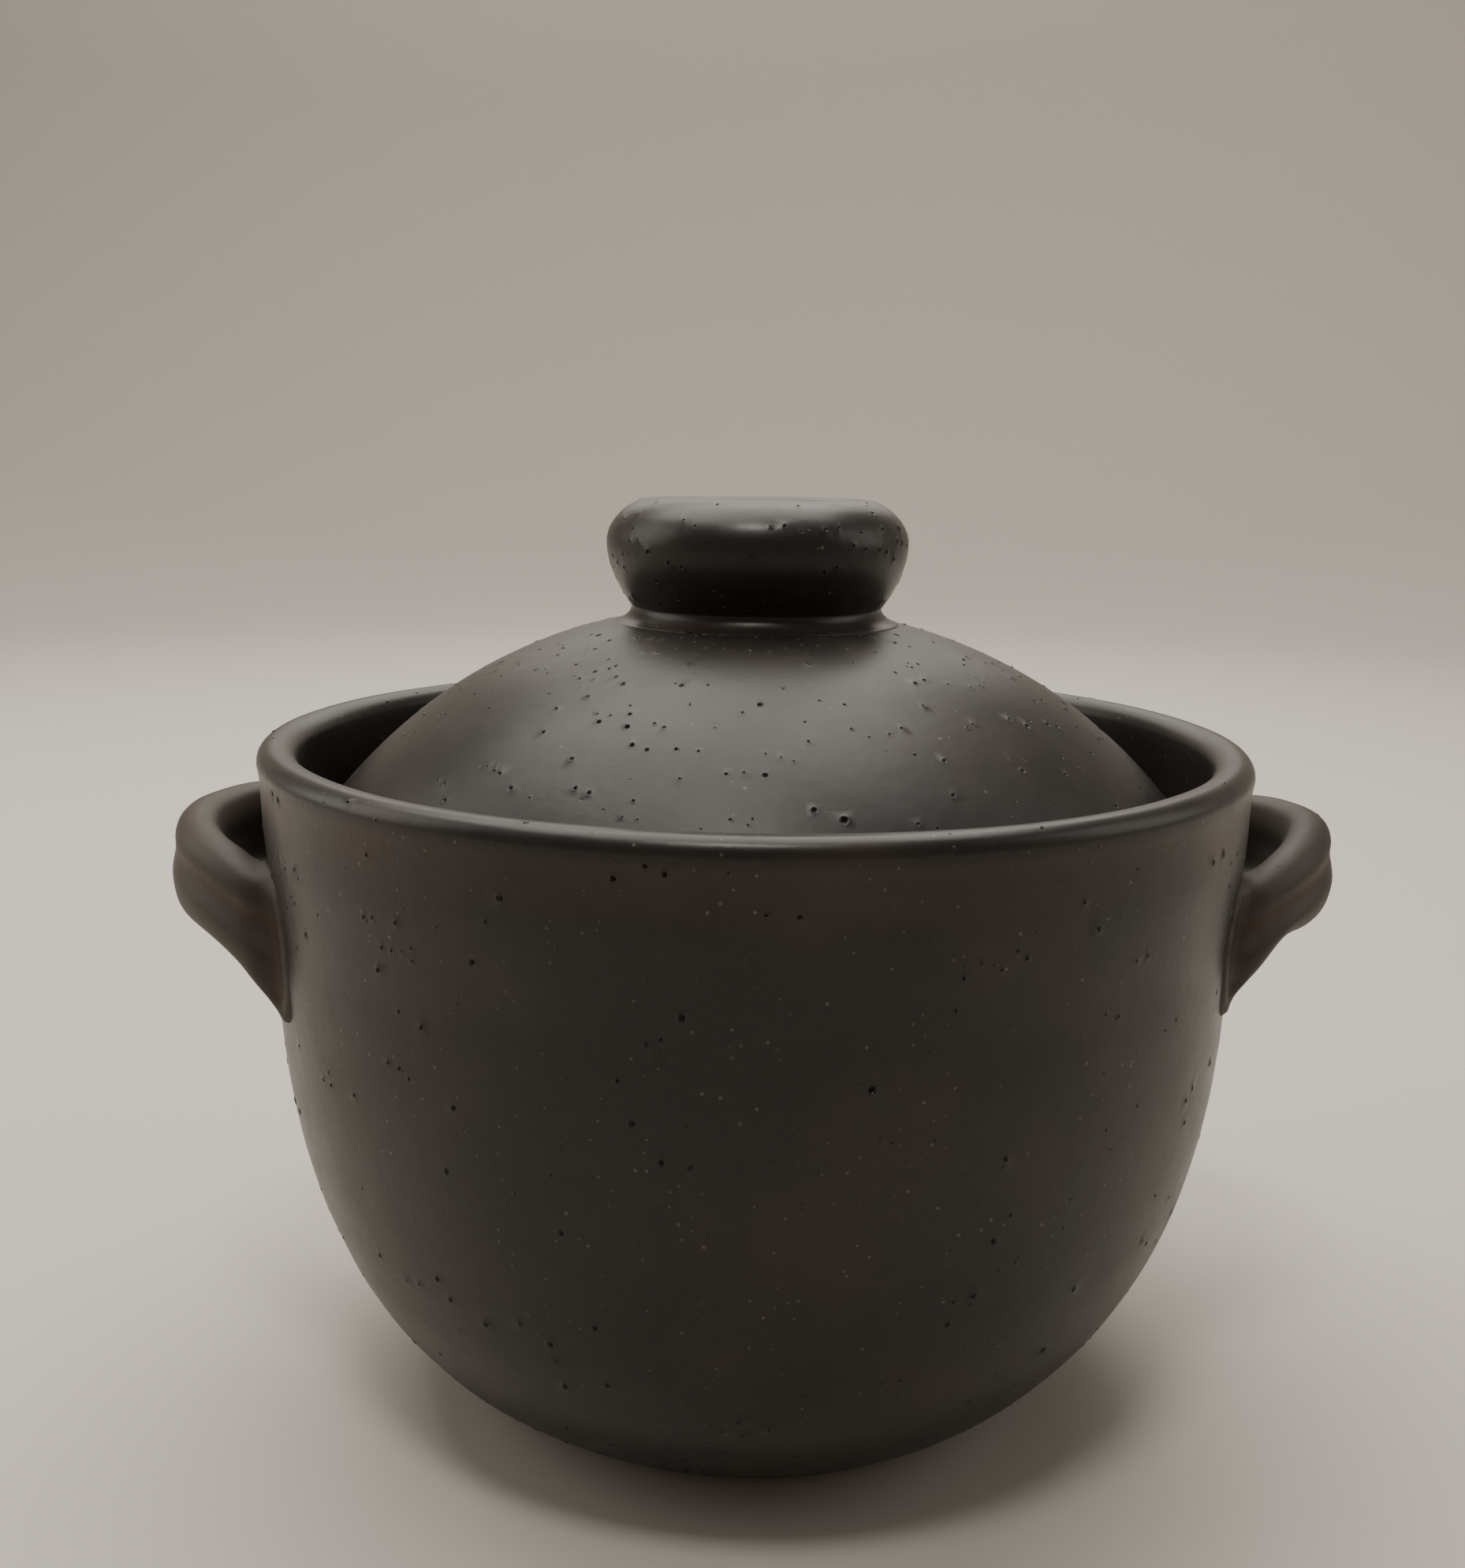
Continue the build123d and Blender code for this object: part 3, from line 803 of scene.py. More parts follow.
def knob_corners():
    """The hollow ring knob's outline: under its foot, up its side, over the crest and into the mouth."""
    seat, top, widest = knob_box[0].z, knob_box[1].z, knob_box[1].x
    neck, middle = (21.4 * MM, seat + 2.6 * MM), (widest, seat + 13.6 * MM)
    crest, mouth = (18.0 * MM, top), (13.6 * MM, top - 3.0 * MM)
    well_radius, well_floor, sunk = 11.0 * MM, top - 12.4 * MM, seat - 0.7 * MM
    return [
        Corner(0, sunk, wave=0),
        Corner(KNOB_FOOT_RADIUS + 0.4 * MM, sunk, wave=0),
        # Painted shade: a faint brown tint where the knob's foot meets the lid.
        *bend((KNOB_FOOT_RADIUS, seat), (-1, 0.25), neck, (-0.05, 1), 8, pits=0.6, wave=0.2, brown=0.12),
        *bend(neck, (0.75, 1), middle, (0, 1), 14, pits=1.0, wave=0.6)[1:],
        *bend(middle, (0, 1), crest, (-1, 0), 16, pits=0.6, wave=0.8)[1:],
        *bend(crest, (-1, 0), mouth, (0, -1), 10, pits=0.1, wave=0.6)[1:],
        Corner(well_radius, well_floor, 2.4 * MM, wave=0.4),
        Corner(0, well_floor, wave=0.3),
    ]


def inner_lid_corners():
    """The inner lid's outline: its hollow underside, its edge and its low rise to the grip."""
    radius, base, peak = inner_box[1].x, inner_box[0].z, inner_box[1].z
    ring, steps = radius - INNER_RING, 12
    seat, top = grip_box[0].z, base + INNER_EDGE_HEIGHT
    shares = [i / steps for i in range(1, steps + 1)]
    corners = [Corner(0, base + INNER_RISE, wave=0.3)]
    corners += [Corner(ring * t, base + INNER_RISE * (1 - t**1.6), wave=0.3) for t in shares]
    corners += [
        Corner(radius, base, INNER_EDGE, bare=1, wave=0),
        Corner(radius, top, INNER_EDGE, wave=0.2),
    ]
    for t in shares:
        height = top + (seat - top) * (1 - (1 - t) ** 1.5)
        corners.append(Corner(radius + (GRIP_FOOT_RADIUS - radius) * t, height, wave=0.4, pits=0.2))
    corners.append(Corner(0, peak, wave=0))
    return corners


def grip_corners():
    """The inner lid's small grip: a waisted stem with a dished top."""
    seat, top, widest = grip_box[0].z, grip_box[1].z, grip_box[1].x
    neck, middle, dish = (8.2 * MM, seat + 4.6 * MM), (widest, seat + 9.6 * MM), (6.6 * MM, top)
    return [
        Corner(0, seat, wave=0),
        *bend((GRIP_FOOT_RADIUS, seat), (-1, 1), neck, (0, 1), 8, wave=0.3),
        *bend(neck, (0, 1), middle, (0, 1), 8, wave=0.4)[1:],
        *bend(middle, (0, 1), dish, (-1, 0), 12, wave=0.4)[1:],
        *bend(dish, (-1, 0), (0, top - 0.9 * MM), (-1, 0), 8, wave=0.3)[1:],
    ]


# Finishes

BLACK = (0, 0, 0, 1)
# Painted shade laid into the floor of each pinhole.
PIT_SHADE = (0.006, 0.005, 0.004, 1)
TOASTED_CLAY = (0.11, 0.075, 0.052, 1)
PALE_GROG = (0.42, 0.36, 0.29, 1)
BUMP_HEIGHT = 0.07 * MM


def new_tree(name, inputs, outputs, kind="ShaderNodeTree"):
    """An empty node tree with its sockets, and its input sockets and output node."""
    tree = bpy.data.node_groups.new(name, kind)
    for label, sort, *default in inputs:
        socket = tree.interface.new_socket(label, in_out="INPUT", socket_type="NodeSocket" + sort)
        if default:
            socket.default_value = default[0]
    for label, sort in outputs:
        tree.interface.new_socket(label, in_out="OUTPUT", socket_type="NodeSocket" + sort)
    return tree, tree.nodes.new("NodeGroupInput").outputs, tree.nodes.new("NodeGroupOutput").inputs


def feed(tree, socket, value):
    """Links a socket to another node's output, or sets its own value."""
    if isinstance(value, bpy.types.NodeSocket):
        tree.links.new(value, socket)
    else:
        socket.default_value = value


def feed_named(tree, node, values):
    """Feeds a node's inputs by name, an underscore standing for a space."""
    for label, value in values.items():
        feed(tree, node.inputs[label.replace("_", " ")], value)
    return node


def new_node(tree, kind, **values):
    return feed_named(tree, tree.nodes.new(kind), values)


def math_node(tree, operation, a, b, clamp=False):
    node = tree.nodes.new("ShaderNodeMath")
    node.operation = operation
    node.use_clamp = clamp
    feed(tree, node.inputs[0], a)
    feed(tree, node.inputs[1], b)
    return node.outputs[0]


def times(tree, a, b, clamp=False):
    return math_node(tree, "MULTIPLY", a, b, clamp)


def plus(tree, a, b):
    return math_node(tree, "ADD", a, b)


def minus(tree, a, b):
    return math_node(tree, "SUBTRACT", a, b)


def noise_node(tree, vector, scale, detail=3.0, roughness=0.55):
    kind = "ShaderNodeTexNoise"
    return new_node(tree, kind, Detail=detail, Roughness=roughness, Vector=vector, Scale=scale).outputs[0]


def cells_node(tree, vector, scale):
    """Distance to the nearest cell's middle, and three random numbers for each cell."""
    cells = new_node(tree, "ShaderNodeTexVoronoi", Vector=vector, Scale=scale)
    pick = new_node(tree, "ShaderNodeSeparateColor", Color=cells.outputs["Color"])
    return cells.outputs["Distance"], pick.outputs


def steps_node(tree, value, low, high):
    """A mask that rises smoothly from 0 at low to 1 at high."""
    node = new_node(tree, "ShaderNodeMapRange", Value=value, From_Min=low, From_Max=high)
    node.interpolation_type = "SMOOTHSTEP"
    return node.outputs["Result"]


def mix_colour(tree, factor, a, b):
    node = tree.nodes.new("ShaderNodeMix")
    node.data_type = "RGBA"
    for k, value in ((0, factor), (6, a), (7, b)):
        feed(tree, node.inputs[k], value)
    return node.outputs[2]


def glaze_tone_group():
    """Colour of the glaze: black, browner in cloudy patches, and tinted brown as painted shade where a hollow
    lies in shade.
    """
    inputs = [("Vector", "Vector"), *((label, "Color", BLACK) for label in ("Thick", "Warm", "Edge"))]
    inputs += [("Brown", "Float", 0.0), ("Cloud scale", "Float", 28.0)]
    tree, at, result = new_tree("Glaze tone", inputs, [("Colour", "Color"), ("Cloud", "Float")])
    cloud = noise_node(tree, at["Vector"], at["Cloud scale"], detail=4.0, roughness=0.6)
    warmth = steps_node(tree, cloud, 0.42, 0.68)
    grain = noise_node(tree, at["Vector"], 900.0, detail=2.0)
    base = mix_colour(tree, warmth, at["Thick"], at["Warm"])
    base = mix_colour(tree, times(tree, steps_node(tree, grain, 0.35, 0.8), 0.35), base, at["Warm"])
    # Painted shade: the shade brown trait mixes the brown of shaded hollows into the glaze.
    shaded = times(tree, at["Brown"], plus(tree, cloud, 0.15))
    feed(tree, result["Colour"], mix_colour(tree, shaded, base, at["Edge"]))
    feed(tree, result["Cloud"], warmth)


def speck_group():
    """Mask of fine pale specks: few, of uneven size, thicker in some places than in others."""
    inputs = [("Vector", "Vector"), ("Scale", "Float", 620.0)]
    inputs += [("Size", "Float", 0.22), ("Amount", "Float", 0.5)]
    tree, at, result = new_tree("Mineral specks", inputs, [("Mask", "Float")])
    distance, pick = cells_node(tree, at["Vector"], at["Scale"])
    spread = noise_node(tree, at["Vector"], 45.0, detail=2.0)
    chosen = math_node(tree, "LESS_THAN", pick[0], times(tree, at["Amount"], spread))
    size = times(tree, at["Size"], plus(tree, pick[1], 0.35))
    inside = minus(tree, 1.0, steps_node(tree, distance, times(tree, size, 0.6), size))
    mask = times(tree, times(tree, inside, chosen), plus(tree, pick[2], 0.25), clamp=True)
    feed(tree, result["Mask"], mask)


def glaze_relief_group():
    """Height of the glaze's skin: orange peel, tiny pricks and soft runs."""
    inputs = [("Vector", "Vector"), ("Peel scale", "Float", 420.0), ("Prick amount", "Float", 0.5)]
    tree, at, result = new_tree("Glaze relief", inputs, [("Height", "Float"), ("Pricks", "Float")])
    peel = noise_node(tree, at["Vector"], at["Peel scale"], detail=2.0, roughness=0.5)
    fine = noise_node(tree, at["Vector"], 1700.0, detail=1.0)
    slow = noise_node(tree, at["Vector"], 110.0, detail=2.0)
    distance, pick = cells_node(tree, at["Vector"], 330.0)
    spread = noise_node(tree, at["Vector"], 60.0, detail=1.0)
    chosen = math_node(tree, "LESS_THAN", pick[0], times(tree, at["Prick amount"], spread))
    prick = times(tree, minus(tree, 1.0, steps_node(tree, distance, 0.03, 0.1)), chosen)
    height = plus(tree, times(tree, peel, 0.55), times(tree, fine, 0.12))
    height = plus(tree, height, times(tree, slow, 0.9))
    feed(tree, result["Height"], minus(tree, height, times(tree, prick, 1.3)))
    feed(tree, result["Pricks"], prick)


def sheen_group():
    """Roughness of the satin glaze: duller in clouds, in pits and on bare clay."""
    inputs = [("Vector", "Vector"), ("Base", "Float", 0.36)]
    inputs += [("Cloud", "Float", 0.0), ("Pit", "Float", 0.0), ("Bare", "Float", 0.0)]
    tree, at, result = new_tree("Satin sheen", inputs, [("Roughness", "Float")])
    smudge = noise_node(tree, at["Vector"], 75.0, detail=5.0, roughness=0.65)
    value = plus(tree, at["Base"], times(tree, minus(tree, smudge, 0.5), 0.16))
    value = plus(tree, value, times(tree, at["Cloud"], 0.04))
    value = plus(tree, value, times(tree, at["Pit"], 0.12))
    value = math_node(tree, "MAXIMUM", value, times(tree, at["Bare"], 0.86), clamp=True)
    feed(tree, result["Roughness"], value)


def clay_group():
    """Bare stoneware: sandy colour with grog, toasted where the kiln's flame touched it."""
    inputs = [("Vector", "Vector"), ("Clay", "Color", BLACK)]
    tree, at, result = new_tree("Bare clay", inputs, [("Colour", "Color"), ("Height", "Float")])
    toast = noise_node(tree, at["Vector"], 38.0, detail=4.0)
    grog = noise_node(tree, at["Vector"], 1300.0, detail=2.0, roughness=0.7)
    dark = mix_colour(tree, steps_node(tree, toast, 0.4, 0.7), at["Clay"], TOASTED_CLAY)
    feed(tree, result["Colour"], mix_colour(tree, steps_node(tree, grog, 0.58, 0.72), dark, PALE_GROG))
    feed(tree, result["Height"], grog)


def place_group(tree, name, **values):
    node = tree.nodes.new("ShaderNodeGroup")
    node.node_tree = bpy.data.node_groups[name]
    return feed_named(tree, node, values).outputs


def attribute(tree, name):
    node = tree.nodes.new("ShaderNodeAttribute")
    node.attribute_name = name
    return node.outputs["Fac"]


def glazed(name, look, warmth=0.0, roughness=0.0, specks=0.9, pricks=0.5, cloud=28.0):
    """A satin black glaze over stoneware, bare where the surface says so."""
    if name in bpy.data.materials:
        return bpy.data.materials[name]
    if "Glaze tone" not in bpy.data.node_groups:
        for build in (glaze_tone_group, speck_group, glaze_relief_group, sheen_group, clay_group):
            build()
    material = bpy.data.materials.new(name)
    material.use_nodes = True
    tree = material.node_tree
    tree.nodes.clear()
    shader = tree.nodes.new("ShaderNodeBsdfPrincipled")
    output = tree.nodes.new("ShaderNodeOutputMaterial")
    tree.links.new(shader.outputs[0], output.inputs[0])
    place = tree.nodes.new("ShaderNodeTexCoord").outputs["Object"]
    uneven = times(tree, minus(tree, noise_node(tree, place, 160.0), 0.5), 0.5)
    bare = steps_node(tree, plus(tree, attribute(tree, "bare"), uneven), 0.44, 0.56)
    pit_shade = attribute(tree, "pit_shade")
    thick = tuple(a + (b - a) * warmth for a, b in zip(look.glaze, look.warm))
    colours = dict(Thick=(*thick, 1), Warm=(*look.warm, 1), Edge=(*look.edge, 1))
    # Painted shade: this attribute carries the brown tint of shaded hollows.
    brown = attribute(tree, "brown")
    tone = place_group(tree, "Glaze tone", Vector=place, Brown=brown, Cloud_scale=cloud, **colours)
    fine = place_group(tree, "Mineral specks", Vector=place, Scale=640.0, Size=0.17, Amount=specks)
    coarse = place_group(tree, "Mineral specks", Vector=place, Scale=300.0, Size=0.09, Amount=specks * 0.3)
    both = times(tree, math_node(tree, "MAXIMUM", fine["Mask"], coarse["Mask"]), 0.22)
    glaze_colour = mix_colour(tree, both, tone["Colour"], (*look.speck, 1))
    # Painted shade: pinholes darken towards their floor.
    pit_shaded = mix_colour(tree, times(tree, pit_shade, 0.5), glaze_colour, PIT_SHADE)
    clay = place_group(tree, "Bare clay", Vector=place, Clay=(*look.clay, 1))
    base, cloudy = look.roughness + roughness, tone["Cloud"]
    sheen = place_group(tree, "Satin sheen", Vector=place, Base=base, Cloud=cloudy, Pit=pit_shade, Bare=bare)
    relief = place_group(tree, "Glaze relief", Vector=place, Prick_amount=pricks)
    height = plus(tree, relief["Height"], times(tree, clay["Height"], times(tree, bare, 2.0)))
    bump = new_node(tree, "ShaderNodeBump", Strength=1.0, Distance=BUMP_HEIGHT, Height=height)
    feed(tree, shader.inputs["Base Color"], mix_colour(tree, bare, pit_shaded, clay["Colour"]))
    feed(tree, shader.inputs["Roughness"], sheen["Roughness"])
    feed(tree, shader.inputs["Normal"], bump.outputs[0])
    feed(tree, shader.inputs["IOR"], 1.52)
    feed(tree, shader.inputs["Specular IOR Level"], 0.32)
    return material


def inner_glaze(look):
    """The browner glaze of the inner lid and its grip."""
    return glazed("inner_lid_glaze", look, warmth=0.55, roughness=0.05)


# Blisters, scattered by geometry nodes

def bead_tree():
    """Geometry nodes that seat small domed blisters on a surface, where a seed scatters them."""
    name = "Glaze blisters"
    if name in bpy.data.node_groups:
        return bpy.data.node_groups[name]
    shape = ("Geometry", "Geometry")
    inputs = [shape, ("Density", "Float"), ("Radius", "Float"), ("Seed", "Int"), ("Material", "Material")]
    tree, given, result = new_tree(name, inputs, [shape], "GeometryNodeTree")
    share = new_node(tree, "GeometryNodeInputNamedAttribute", Name="beads")
    share.data_type = "FLOAT"
    density = times(tree, given["Density"], share.outputs["Attribute"])
    kind = "GeometryNodeDistributePointsOnFaces"
    spread = new_node(tree, kind, Mesh=given["Geometry"], Density=density, Seed=given["Seed"])
    ball = new_node(tree, "GeometryNodeMeshIcoSphere", Subdivisions=2, Radius=given["Radius"])
    smooth = new_node(tree, "GeometryNodeSetShadeSmooth", Geometry=ball.outputs["Mesh"])
    size = tree.nodes.new("FunctionNodeRandomValue")
    size.data_type = "FLOAT_VECTOR"
    size.inputs[0].default_value = (0.55, 0.55, 0.35)
    size.inputs[1].default_value = (1.5, 1.3, 0.8)
    feed(tree, size.inputs["Seed"], given["Seed"])
    seat = new_node(
        tree,
        "GeometryNodeInstanceOnPoints",
        Points=spread.outputs["Points"],
        Instance=smooth.outputs["Geometry"],
        Rotation=spread.outputs["Rotation"],
        Scale=size.outputs[0],
    )
    real = new_node(tree, "GeometryNodeRealizeInstances", Geometry=seat.outputs["Instances"])
    kind = "GeometryNodeSetMaterial"
    finish = new_node(tree, kind, Geometry=real.outputs["Geometry"], Material=given["Material"])
    feed(tree, result["Geometry"], finish.outputs["Geometry"])
    return tree


def blisters(name, source, shares, look, seed, material):
    """A plain mesh of the blisters that the node tree seats on a copy of a piece."""
    mesh = bpy.data.objects[source].data.copy()
    layer = mesh.attributes.new("beads", "FLOAT", "POINT")
    layer.data.foreach_set("value", [shares(v.co) for v in mesh.vertices])
    host = bpy.data.objects.new(name + "_host", mesh)
    bpy.context.scene.collection.objects.link(host)
    modifier = host.modifiers.new("blisters", "NODES")
    modifier.node_group = bead_tree()
    values = {"Density": look.bead_density, "Radius": look.bead_radius, "Seed": seed, "Material": material}
    for label, value in values.items():
        modifier[modifier.node_group.interface.items_tree[label].identifier] = value
    bpy.context.view_layer.update()
    evaluated = host.evaluated_get(bpy.context.evaluated_depsgraph_get())
    made = bpy.data.meshes.new_from_object(evaluated)
    made.name = name
    bpy.data.objects.remove(host)
    bpy.data.meshes.remove(mesh)
    for trait in list(made.attributes):
        if trait.name == "beads":
            made.attributes.remove(trait)
    return made


def patchy(centres, seed):
    """Odds of a pinhole at a place: loose clouds of them, and thick patches round some centres."""
    offset, cloud_size = Vector((seed, seed * 0.5, -seed)), 26 * MM

    def odds(place):
        cloud = ease((noise.noise(place / cloud_size + offset) + 0.35) / 0.8)
        near = sum(share * math.exp(-((place - at).length / spread) ** 2) for at, spread, share in centres)
        return min(0.16 + 0.34 * cloud + near, 1.0)

    return odds


# Operators: one for each piece or group of like pieces, and one for the stage

class ThrowBowl(bpy.types.Operator):
    """Throw the bowl with its rolled rim and its two seats"""

    bl_idname = "rice_pot.bowl"
    bl_label = "Throw bowl"

    def execute(self, context):
        sizes, look = context.scene.pot_bowl, context.scene.pot_glaze
        skin = thrown_skin(bowl_corners(sizes), sizes.unevenness, seed=3, step=1.9 * MM, columns=288)
        # Crowds of pinholes: the middle, how far they spread, and how thick they are
        patches = [
            (Vector((-74, -34, 84)) * MM, 26 * MM, 0.8),
            (Vector((-78, -20, 42)) * MM, 16 * MM, 0.5),
            (Vector((70, -40, 40)) * MM, 18 * MM, 0.3),
        ]
        skin.scatter_pinholes(look.bowl_pinholes, look.pinhole_radius, patchy(patches, 4), seed=11)
        piece("bowl", skin, "pot", "black_glaze", glazed("bowl_glaze", look), "pot_body")
        return {"FINISHED"}


class LuteEars(bpy.types.Operator):
    """Pull the two strap ears and set them on the bowl's wall"""

    bl_idname = "rice_pot.ears"
    bl_label = "Set ears"

    def execute(self, context):
        sizes, look, bowl = context.scene.pot_ears, context.scene.pot_glaze, context.scene.pot_bowl
        wall = bowl_wall_radius(bowl)
        left = (sizes.left_reach, math.pi + math.radians(sizes.left_swing), sizes.left_lean)
        right = (sizes.right_reach, math.radians(sizes.right_swing), sizes.right_lean)
        left_dips, left_drops = (0, 0.4, 1.6, 3.7, 6.4, 7.4), (0.4, 1.1, 2.1, 5.1, 11.6, 12.9)
        right_dips, right_drops = (0, 0.6, 3.0, 5.4, 7.9, 9.0), (0, 0.6, 1.7, 2.7, 10.0, 14.5)
        plans = (
            ("ear_left", "handle_left", left, left_dips, left_drops),
            ("ear_right", "handle_right", right, right_dips, right_drops),
        )
        material = glazed("ear_glaze", look, warmth=2.0, roughness=0.2, specks=0.3, pricks=0.3)
        pit_radius = look.pinhole_radius * 0.8
        for seed, (name, node, stance, dips, drops) in enumerate(plans):
            surface = Ear(sizes, *stance, dips, drops, wall)
            skin = Skin(surface, surface.stations(0.9 * MM), 76)
            skin.scatter_pinholes(look.ear_pinholes, pit_radius, lambda place: 0.6, seed=21 + seed)
            piece(name, skin, "pot", "black_glaze", material, node)
        return {"FINISHED"}


class ThrowOuterLid(bpy.types.Operator):
    """Throw the domed outer lid with its steam hole"""

    bl_idname = "rice_pot.outer_lid"
    bl_label = "Throw outer lid"

    def execute(self, context):
        sizes, look = context.scene.pot_bowl, context.scene.pot_glaze
        skin = thrown_skin(dome_corners(), sizes.unevenness * 0.8, seed=9, step=1.5 * MM, columns=288)
        skin.steam_hole(STEAM_HOLE_REACH, 0.25, STEAM_HOLE_RADIUS, 0.7 * MM)
        crown = [(Vector((0, 0, 130)) * MM, 44 * MM, 0.75)]
        skin.scatter_pinholes(look.lid_pinholes, look.pinhole_radius * 0.86, patchy(crown, 7), seed=31)
        material = glazed("lid_glaze", look, roughness=0.05, specks=0.25)
        piece("lid_outer", skin, "outer_lid", "black_glaze", material, "lid_dome")
        return {"FINISHED"}


class ThrowKnob(bpy.types.Operator):
    """Throw the hollow ring knob on the outer lid"""

    bl_idname = "rice_pot.knob"
    bl_label = "Throw knob"

    def execute(self, context):
        sizes, look = context.scene.pot_bowl, context.scene.pot_glaze
        skin = thrown_skin(knob_corners(), sizes.unevenness * 0.7, seed=15, step=1.2 * MM, columns=132)
        skin.scatter_pinholes(look.knob_pinholes, look.pinhole_radius * 0.8, lambda place: 0.75, seed=41)
        material = glazed("knob_glaze", look, warmth=0.1, specks=0.2)
        piece("knob", skin, "outer_lid", "black_glaze", material, "lid_knob")
        return {"FINISHED"}


class ThrowInnerLid(bpy.types.Operator):
    """Throw the inner lid with its two steam holes"""

    bl_idname = "rice_pot.inner_lid"
    bl_label = "Throw inner lid"

    def execute(self, context):
        sizes, look = context.scene.pot_bowl, context.scene.pot_glaze
        skin = thrown_skin(inner_lid_corners(), sizes.unevenness * 0.5, seed=19, step=2.4 * MM, columns=96)
        for share in (0.0, 0.5):
            skin.steam_hole(INNER_HOLE_REACH, share, INNER_HOLE_RADIUS, 0.6 * MM)
        skin.scatter_pinholes(150, look.pinhole_radius * 0.8, patchy([], 5), seed=51)
        piece("lid_inner", skin, "inner_lid", "inner_glaze", inner_glaze(look), "inner_lid")
        return {"FINISHED"}


class ThrowGrip(bpy.types.Operator):
    """Throw the inner lid's small grip"""

    bl_idname = "rice_pot.grip"
    bl_label = "Throw grip"

    def execute(self, context):
        sizes, look = context.scene.pot_bowl, context.scene.pot_glaze
        skin = thrown_skin(grip_corners(), sizes.unevenness * 0.5, seed=23, step=1.2 * MM, columns=56)
        piece("grip", skin, "inner_lid", "inner_glaze", inner_glaze(look), "inner_lid_knob")
        return {"FINISHED"}


class RaiseBlisters(bpy.types.Operator):
    """Scatter small blisters in the glaze of the bowl and the outer lid"""

    bl_idname = "rice_pot.blisters"
    bl_label = "Raise blisters"

    def execute(self, context):
        look = context.scene.pot_glaze
        wall = bowl_wall_radius(context.scene.pot_bowl)
        material = glazed("glaze_blister", look, warmth=0.7, roughness=-0.08, pricks=0.0, cloud=60.0)

        def on_bowl(place):
            outside = math.hypot(place.x, place.y) > 0.93 * wall(place.z)
            return 0.35 if outside and place.z >= PIT_LINE else 0.0

        def on_lid(place):
            radius = math.hypot(place.x, place.y)
            over = place.z > dome_box[0].z + 6 * MM and radius > KNOB_FOOT_RADIUS + 1 * MM
            return math.exp(-(radius - 26 * MM) / (26 * MM)) if over else 0.0

        plans = (
            ("blisters_bowl", "bowl", on_bowl, 61, "pot"),
            ("blisters_lid", "lid_outer", on_lid, 62, "outer_lid"),
        )
        for name, source, shares, seed, body in plans:
            piece(name, blisters(name, source, shares, look, seed, material), body, "black_glaze", material)
        return {"FINISHED"}


# The studio

VIEW_FOCUS = 1998.2
PHOTO_HEIGHT = 1988.0
SENSOR = 36.0
VIEW_PLACE = Vector((-0.00145, -0.27161, 0.15876))
VIEW_PITCH = 0.1993
VIEW_ROLL = 0.0141
VIEW_YAW = -0.0081
POT_MIDDLE = Vector((0, 0, 0.08))
LAMP_TINT = (1.0, 0.95, 0.88)


def soft_light(name, place, width, depth, power, aim=POT_MIDDLE):
    """A rectangular studio light turned towards a point."""
    data = bpy.data.lights.new(name, "AREA")
    data.shape = "RECTANGLE"
    data.size, data.size_y = width, depth
    data.energy = power
    data.color = LAMP_TINT
    lamp = bpy.data.objects.new(name, data)
    lamp.location = place
    lamp.rotation_euler = (Vector(aim) - Vector(place)).to_track_quat("-Z", "Y").to_euler()
    bpy.context.scene.collection.objects.link(lamp)


def cove_mesh(radius=1.3, bend_radius=0.7, top=1.5, columns=96, flat_rows=6, bend_rows=12):
    """A round pale floor that curves up into a wall on every side."""
    rows = [(radius * i / flat_rows, 0.0) for i in range(1, flat_rows + 1)]
    for i in range(1, bend_rows + 1):
        turn = math.radians(90) * i / bend_rows
        rows.append((radius + bend_radius * math.sin(turn), bend_radius * (1 - math.cos(turn))))
    rows.append((radius + bend_radius, top))
    turns = [FULL_TURN * j / columns for j in range(columns)]
    points = [(0, 0, 0)] + [(r * math.cos(t), r * math.sin(t), z) for r, z in rows for t in turns]
    faces = [(0, 1 + j, 1 + (j + 1) % columns) for j in range(columns)]
    for i in range(len(rows) - 1):
        low, high = 1 + i * columns, 1 + (i + 1) * columns
        for j in range(columns):
            after = (j + 1) % columns
            faces.append((low + j, high + j, high + after, low + after))
    mesh = bpy.data.meshes.new("floor")
    mesh.from_pydata(points, [], faces)
    mesh.shade_smooth()
    return mesh


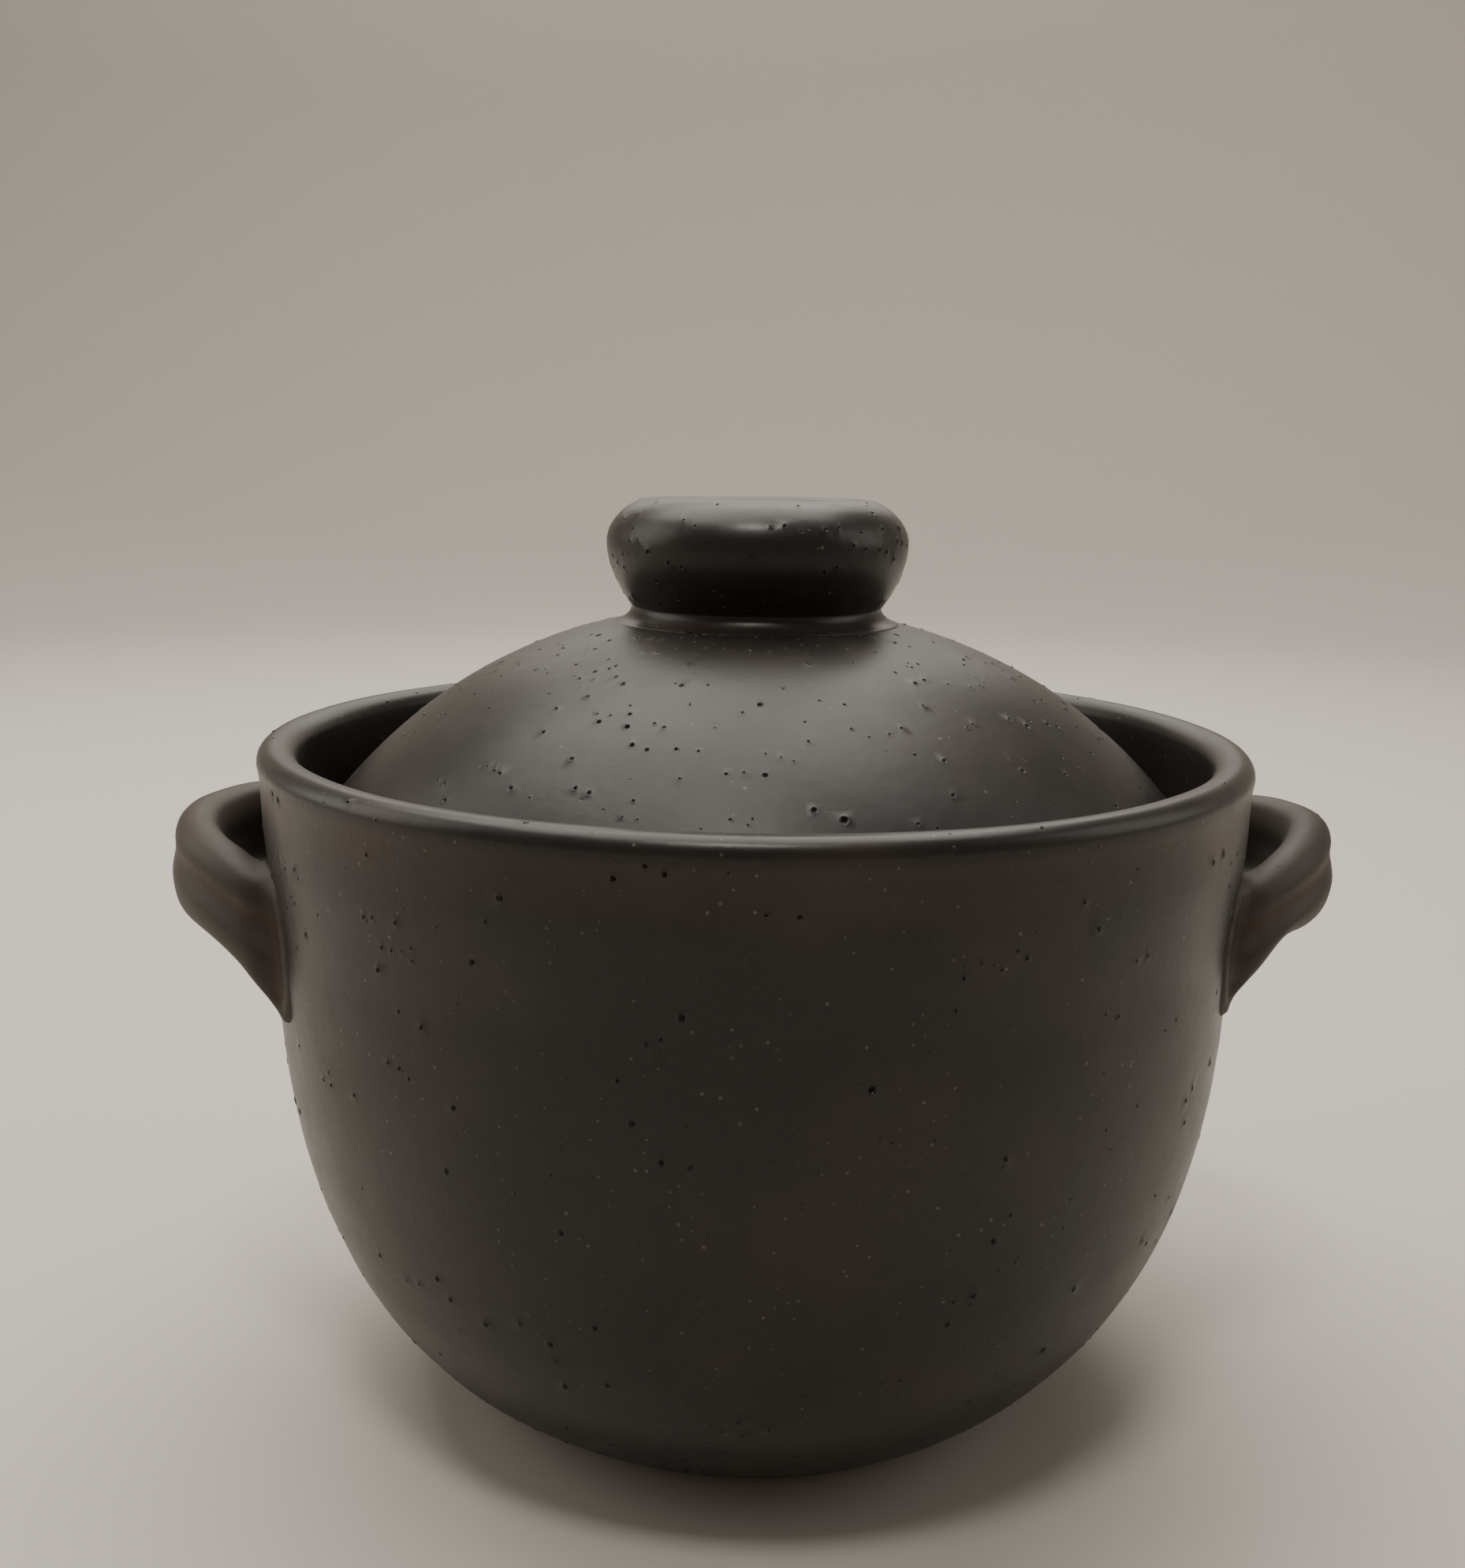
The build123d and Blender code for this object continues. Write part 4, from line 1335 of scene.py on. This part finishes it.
class SetStage(bpy.types.Operator):
    """Lay the pale floor, hang the lights and stand the camera where the photograph was taken"""

    bl_idname = "rice_pot.stage"
    bl_label = "Set stage"

    def execute(self, context):
        look = context.scene.pot_stage
        floor = bpy.data.objects.new("floor", cove_mesh())
        context.scene.collection.objects.link(floor)
        material = bpy.data.materials.new("floor_paper")
        material.use_nodes = True
        shader = material.node_tree.nodes["Principled BSDF"]
        shader.inputs["Base Color"].default_value = (*look.floor, 1)
        shader.inputs["Roughness"].default_value = 0.8
        floor.data.materials.append(material)

        world = bpy.data.worlds.new("room")
        world.use_nodes = True
        backdrop = world.node_tree.nodes["Background"]
        backdrop.inputs["Color"].default_value = (*look.sky, 1)
        backdrop.inputs["Strength"].default_value = look.sky_strength
        context.scene.world = world

        key, fill = look.key_power, look.fill_power
        soft_light("ceiling", (-0.1, 0.32, 1.15), 1.3, 1.0, key)
        soft_light("lamp", (-0.06, -0.42, 1.05), 0.24, 0.14, key * 0.2)
        soft_light("window_left", (-1.1, 0.1, 0.6), 0.8, 0.9, fill)
        soft_light("window_right", (1.1, 0.0, 0.6), 0.7, 0.8, fill * 0.5)
        soft_light("back", (0.0, 1.05, 0.8), 1.1, 0.7, fill * 0.7)
        soft_light("backdrop", (0.0, 1.1, 1.3), 1.6, 0.3, look.backdrop_power, aim=(0.0, 1.95, 0.45))

        data = bpy.data.cameras.new("view")
        data.sensor_fit = "VERTICAL"
        data.sensor_height = SENSOR
        data.lens = VIEW_FOCUS / PHOTO_HEIGHT * SENSOR
        data.clip_start, data.clip_end = 0.01, 20.0
        camera = bpy.data.objects.new("view", data)
        context.scene.collection.objects.link(camera)
        flat = math.cos(VIEW_PITCH)
        ahead = Vector((math.sin(VIEW_YAW) * flat, math.cos(VIEW_YAW) * flat, -math.sin(VIEW_PITCH)))
        right = Vector((math.cos(VIEW_YAW), -math.sin(VIEW_YAW), 0))
        down = ahead.cross(right)
        tilted = right * math.cos(VIEW_ROLL) - down * math.sin(VIEW_ROLL)
        lower = ahead.cross(tilted)
        turn = Matrix((tilted, -lower, -ahead)).transposed().to_4x4()
        camera.matrix_world = Matrix.Translation(VIEW_PLACE) @ turn
        context.scene.camera = camera
        return {"FINISHED"}


class RicePotPanel(bpy.types.Panel):
    """Sidebar panel of the rice pot"""

    bl_idname = "VIEW3D_PT_rice_pot"
    bl_label = "Rice pot"
    bl_space_type = "VIEW_3D"
    bl_region_type = "UI"
    bl_category = "Rice pot"

    def draw(self, context):
        for operator in OPERATORS:
            self.layout.operator(operator.bl_idname)
        for label, group in SETTINGS.items():
            box = self.layout.box()
            box.label(text=label.replace("_", " "))
            for setting in group.__annotations__:
                box.prop(getattr(context.scene, label), setting)


SETTINGS = {"pot_bowl": BowlSizes, "pot_ears": EarSizes, "pot_glaze": GlazeLook, "pot_stage": StageLook}
OPERATORS = (
    ThrowBowl,
    LuteEars,
    ThrowOuterLid,
    ThrowKnob,
    ThrowInnerLid,
    ThrowGrip,
    RaiseBlisters,
    SetStage,
)


def register():
    for kind in (*SETTINGS.values(), *OPERATORS, RicePotPanel):
        bpy.utils.register_class(kind)
    for name, group in SETTINGS.items():
        setattr(bpy.types.Scene, name, PointerProperty(type=group))


def unregister():
    for name in SETTINGS:
        delattr(bpy.types.Scene, name)
    for kind in reversed((*SETTINGS.values(), *OPERATORS, RicePotPanel)):
        bpy.utils.unregister_class(kind)


def main():
    register()
    for operator in OPERATORS:
        family, name = operator.bl_idname.split(".")
        getattr(getattr(bpy.ops, family), name)()


if __name__ == "__main__":
    main()
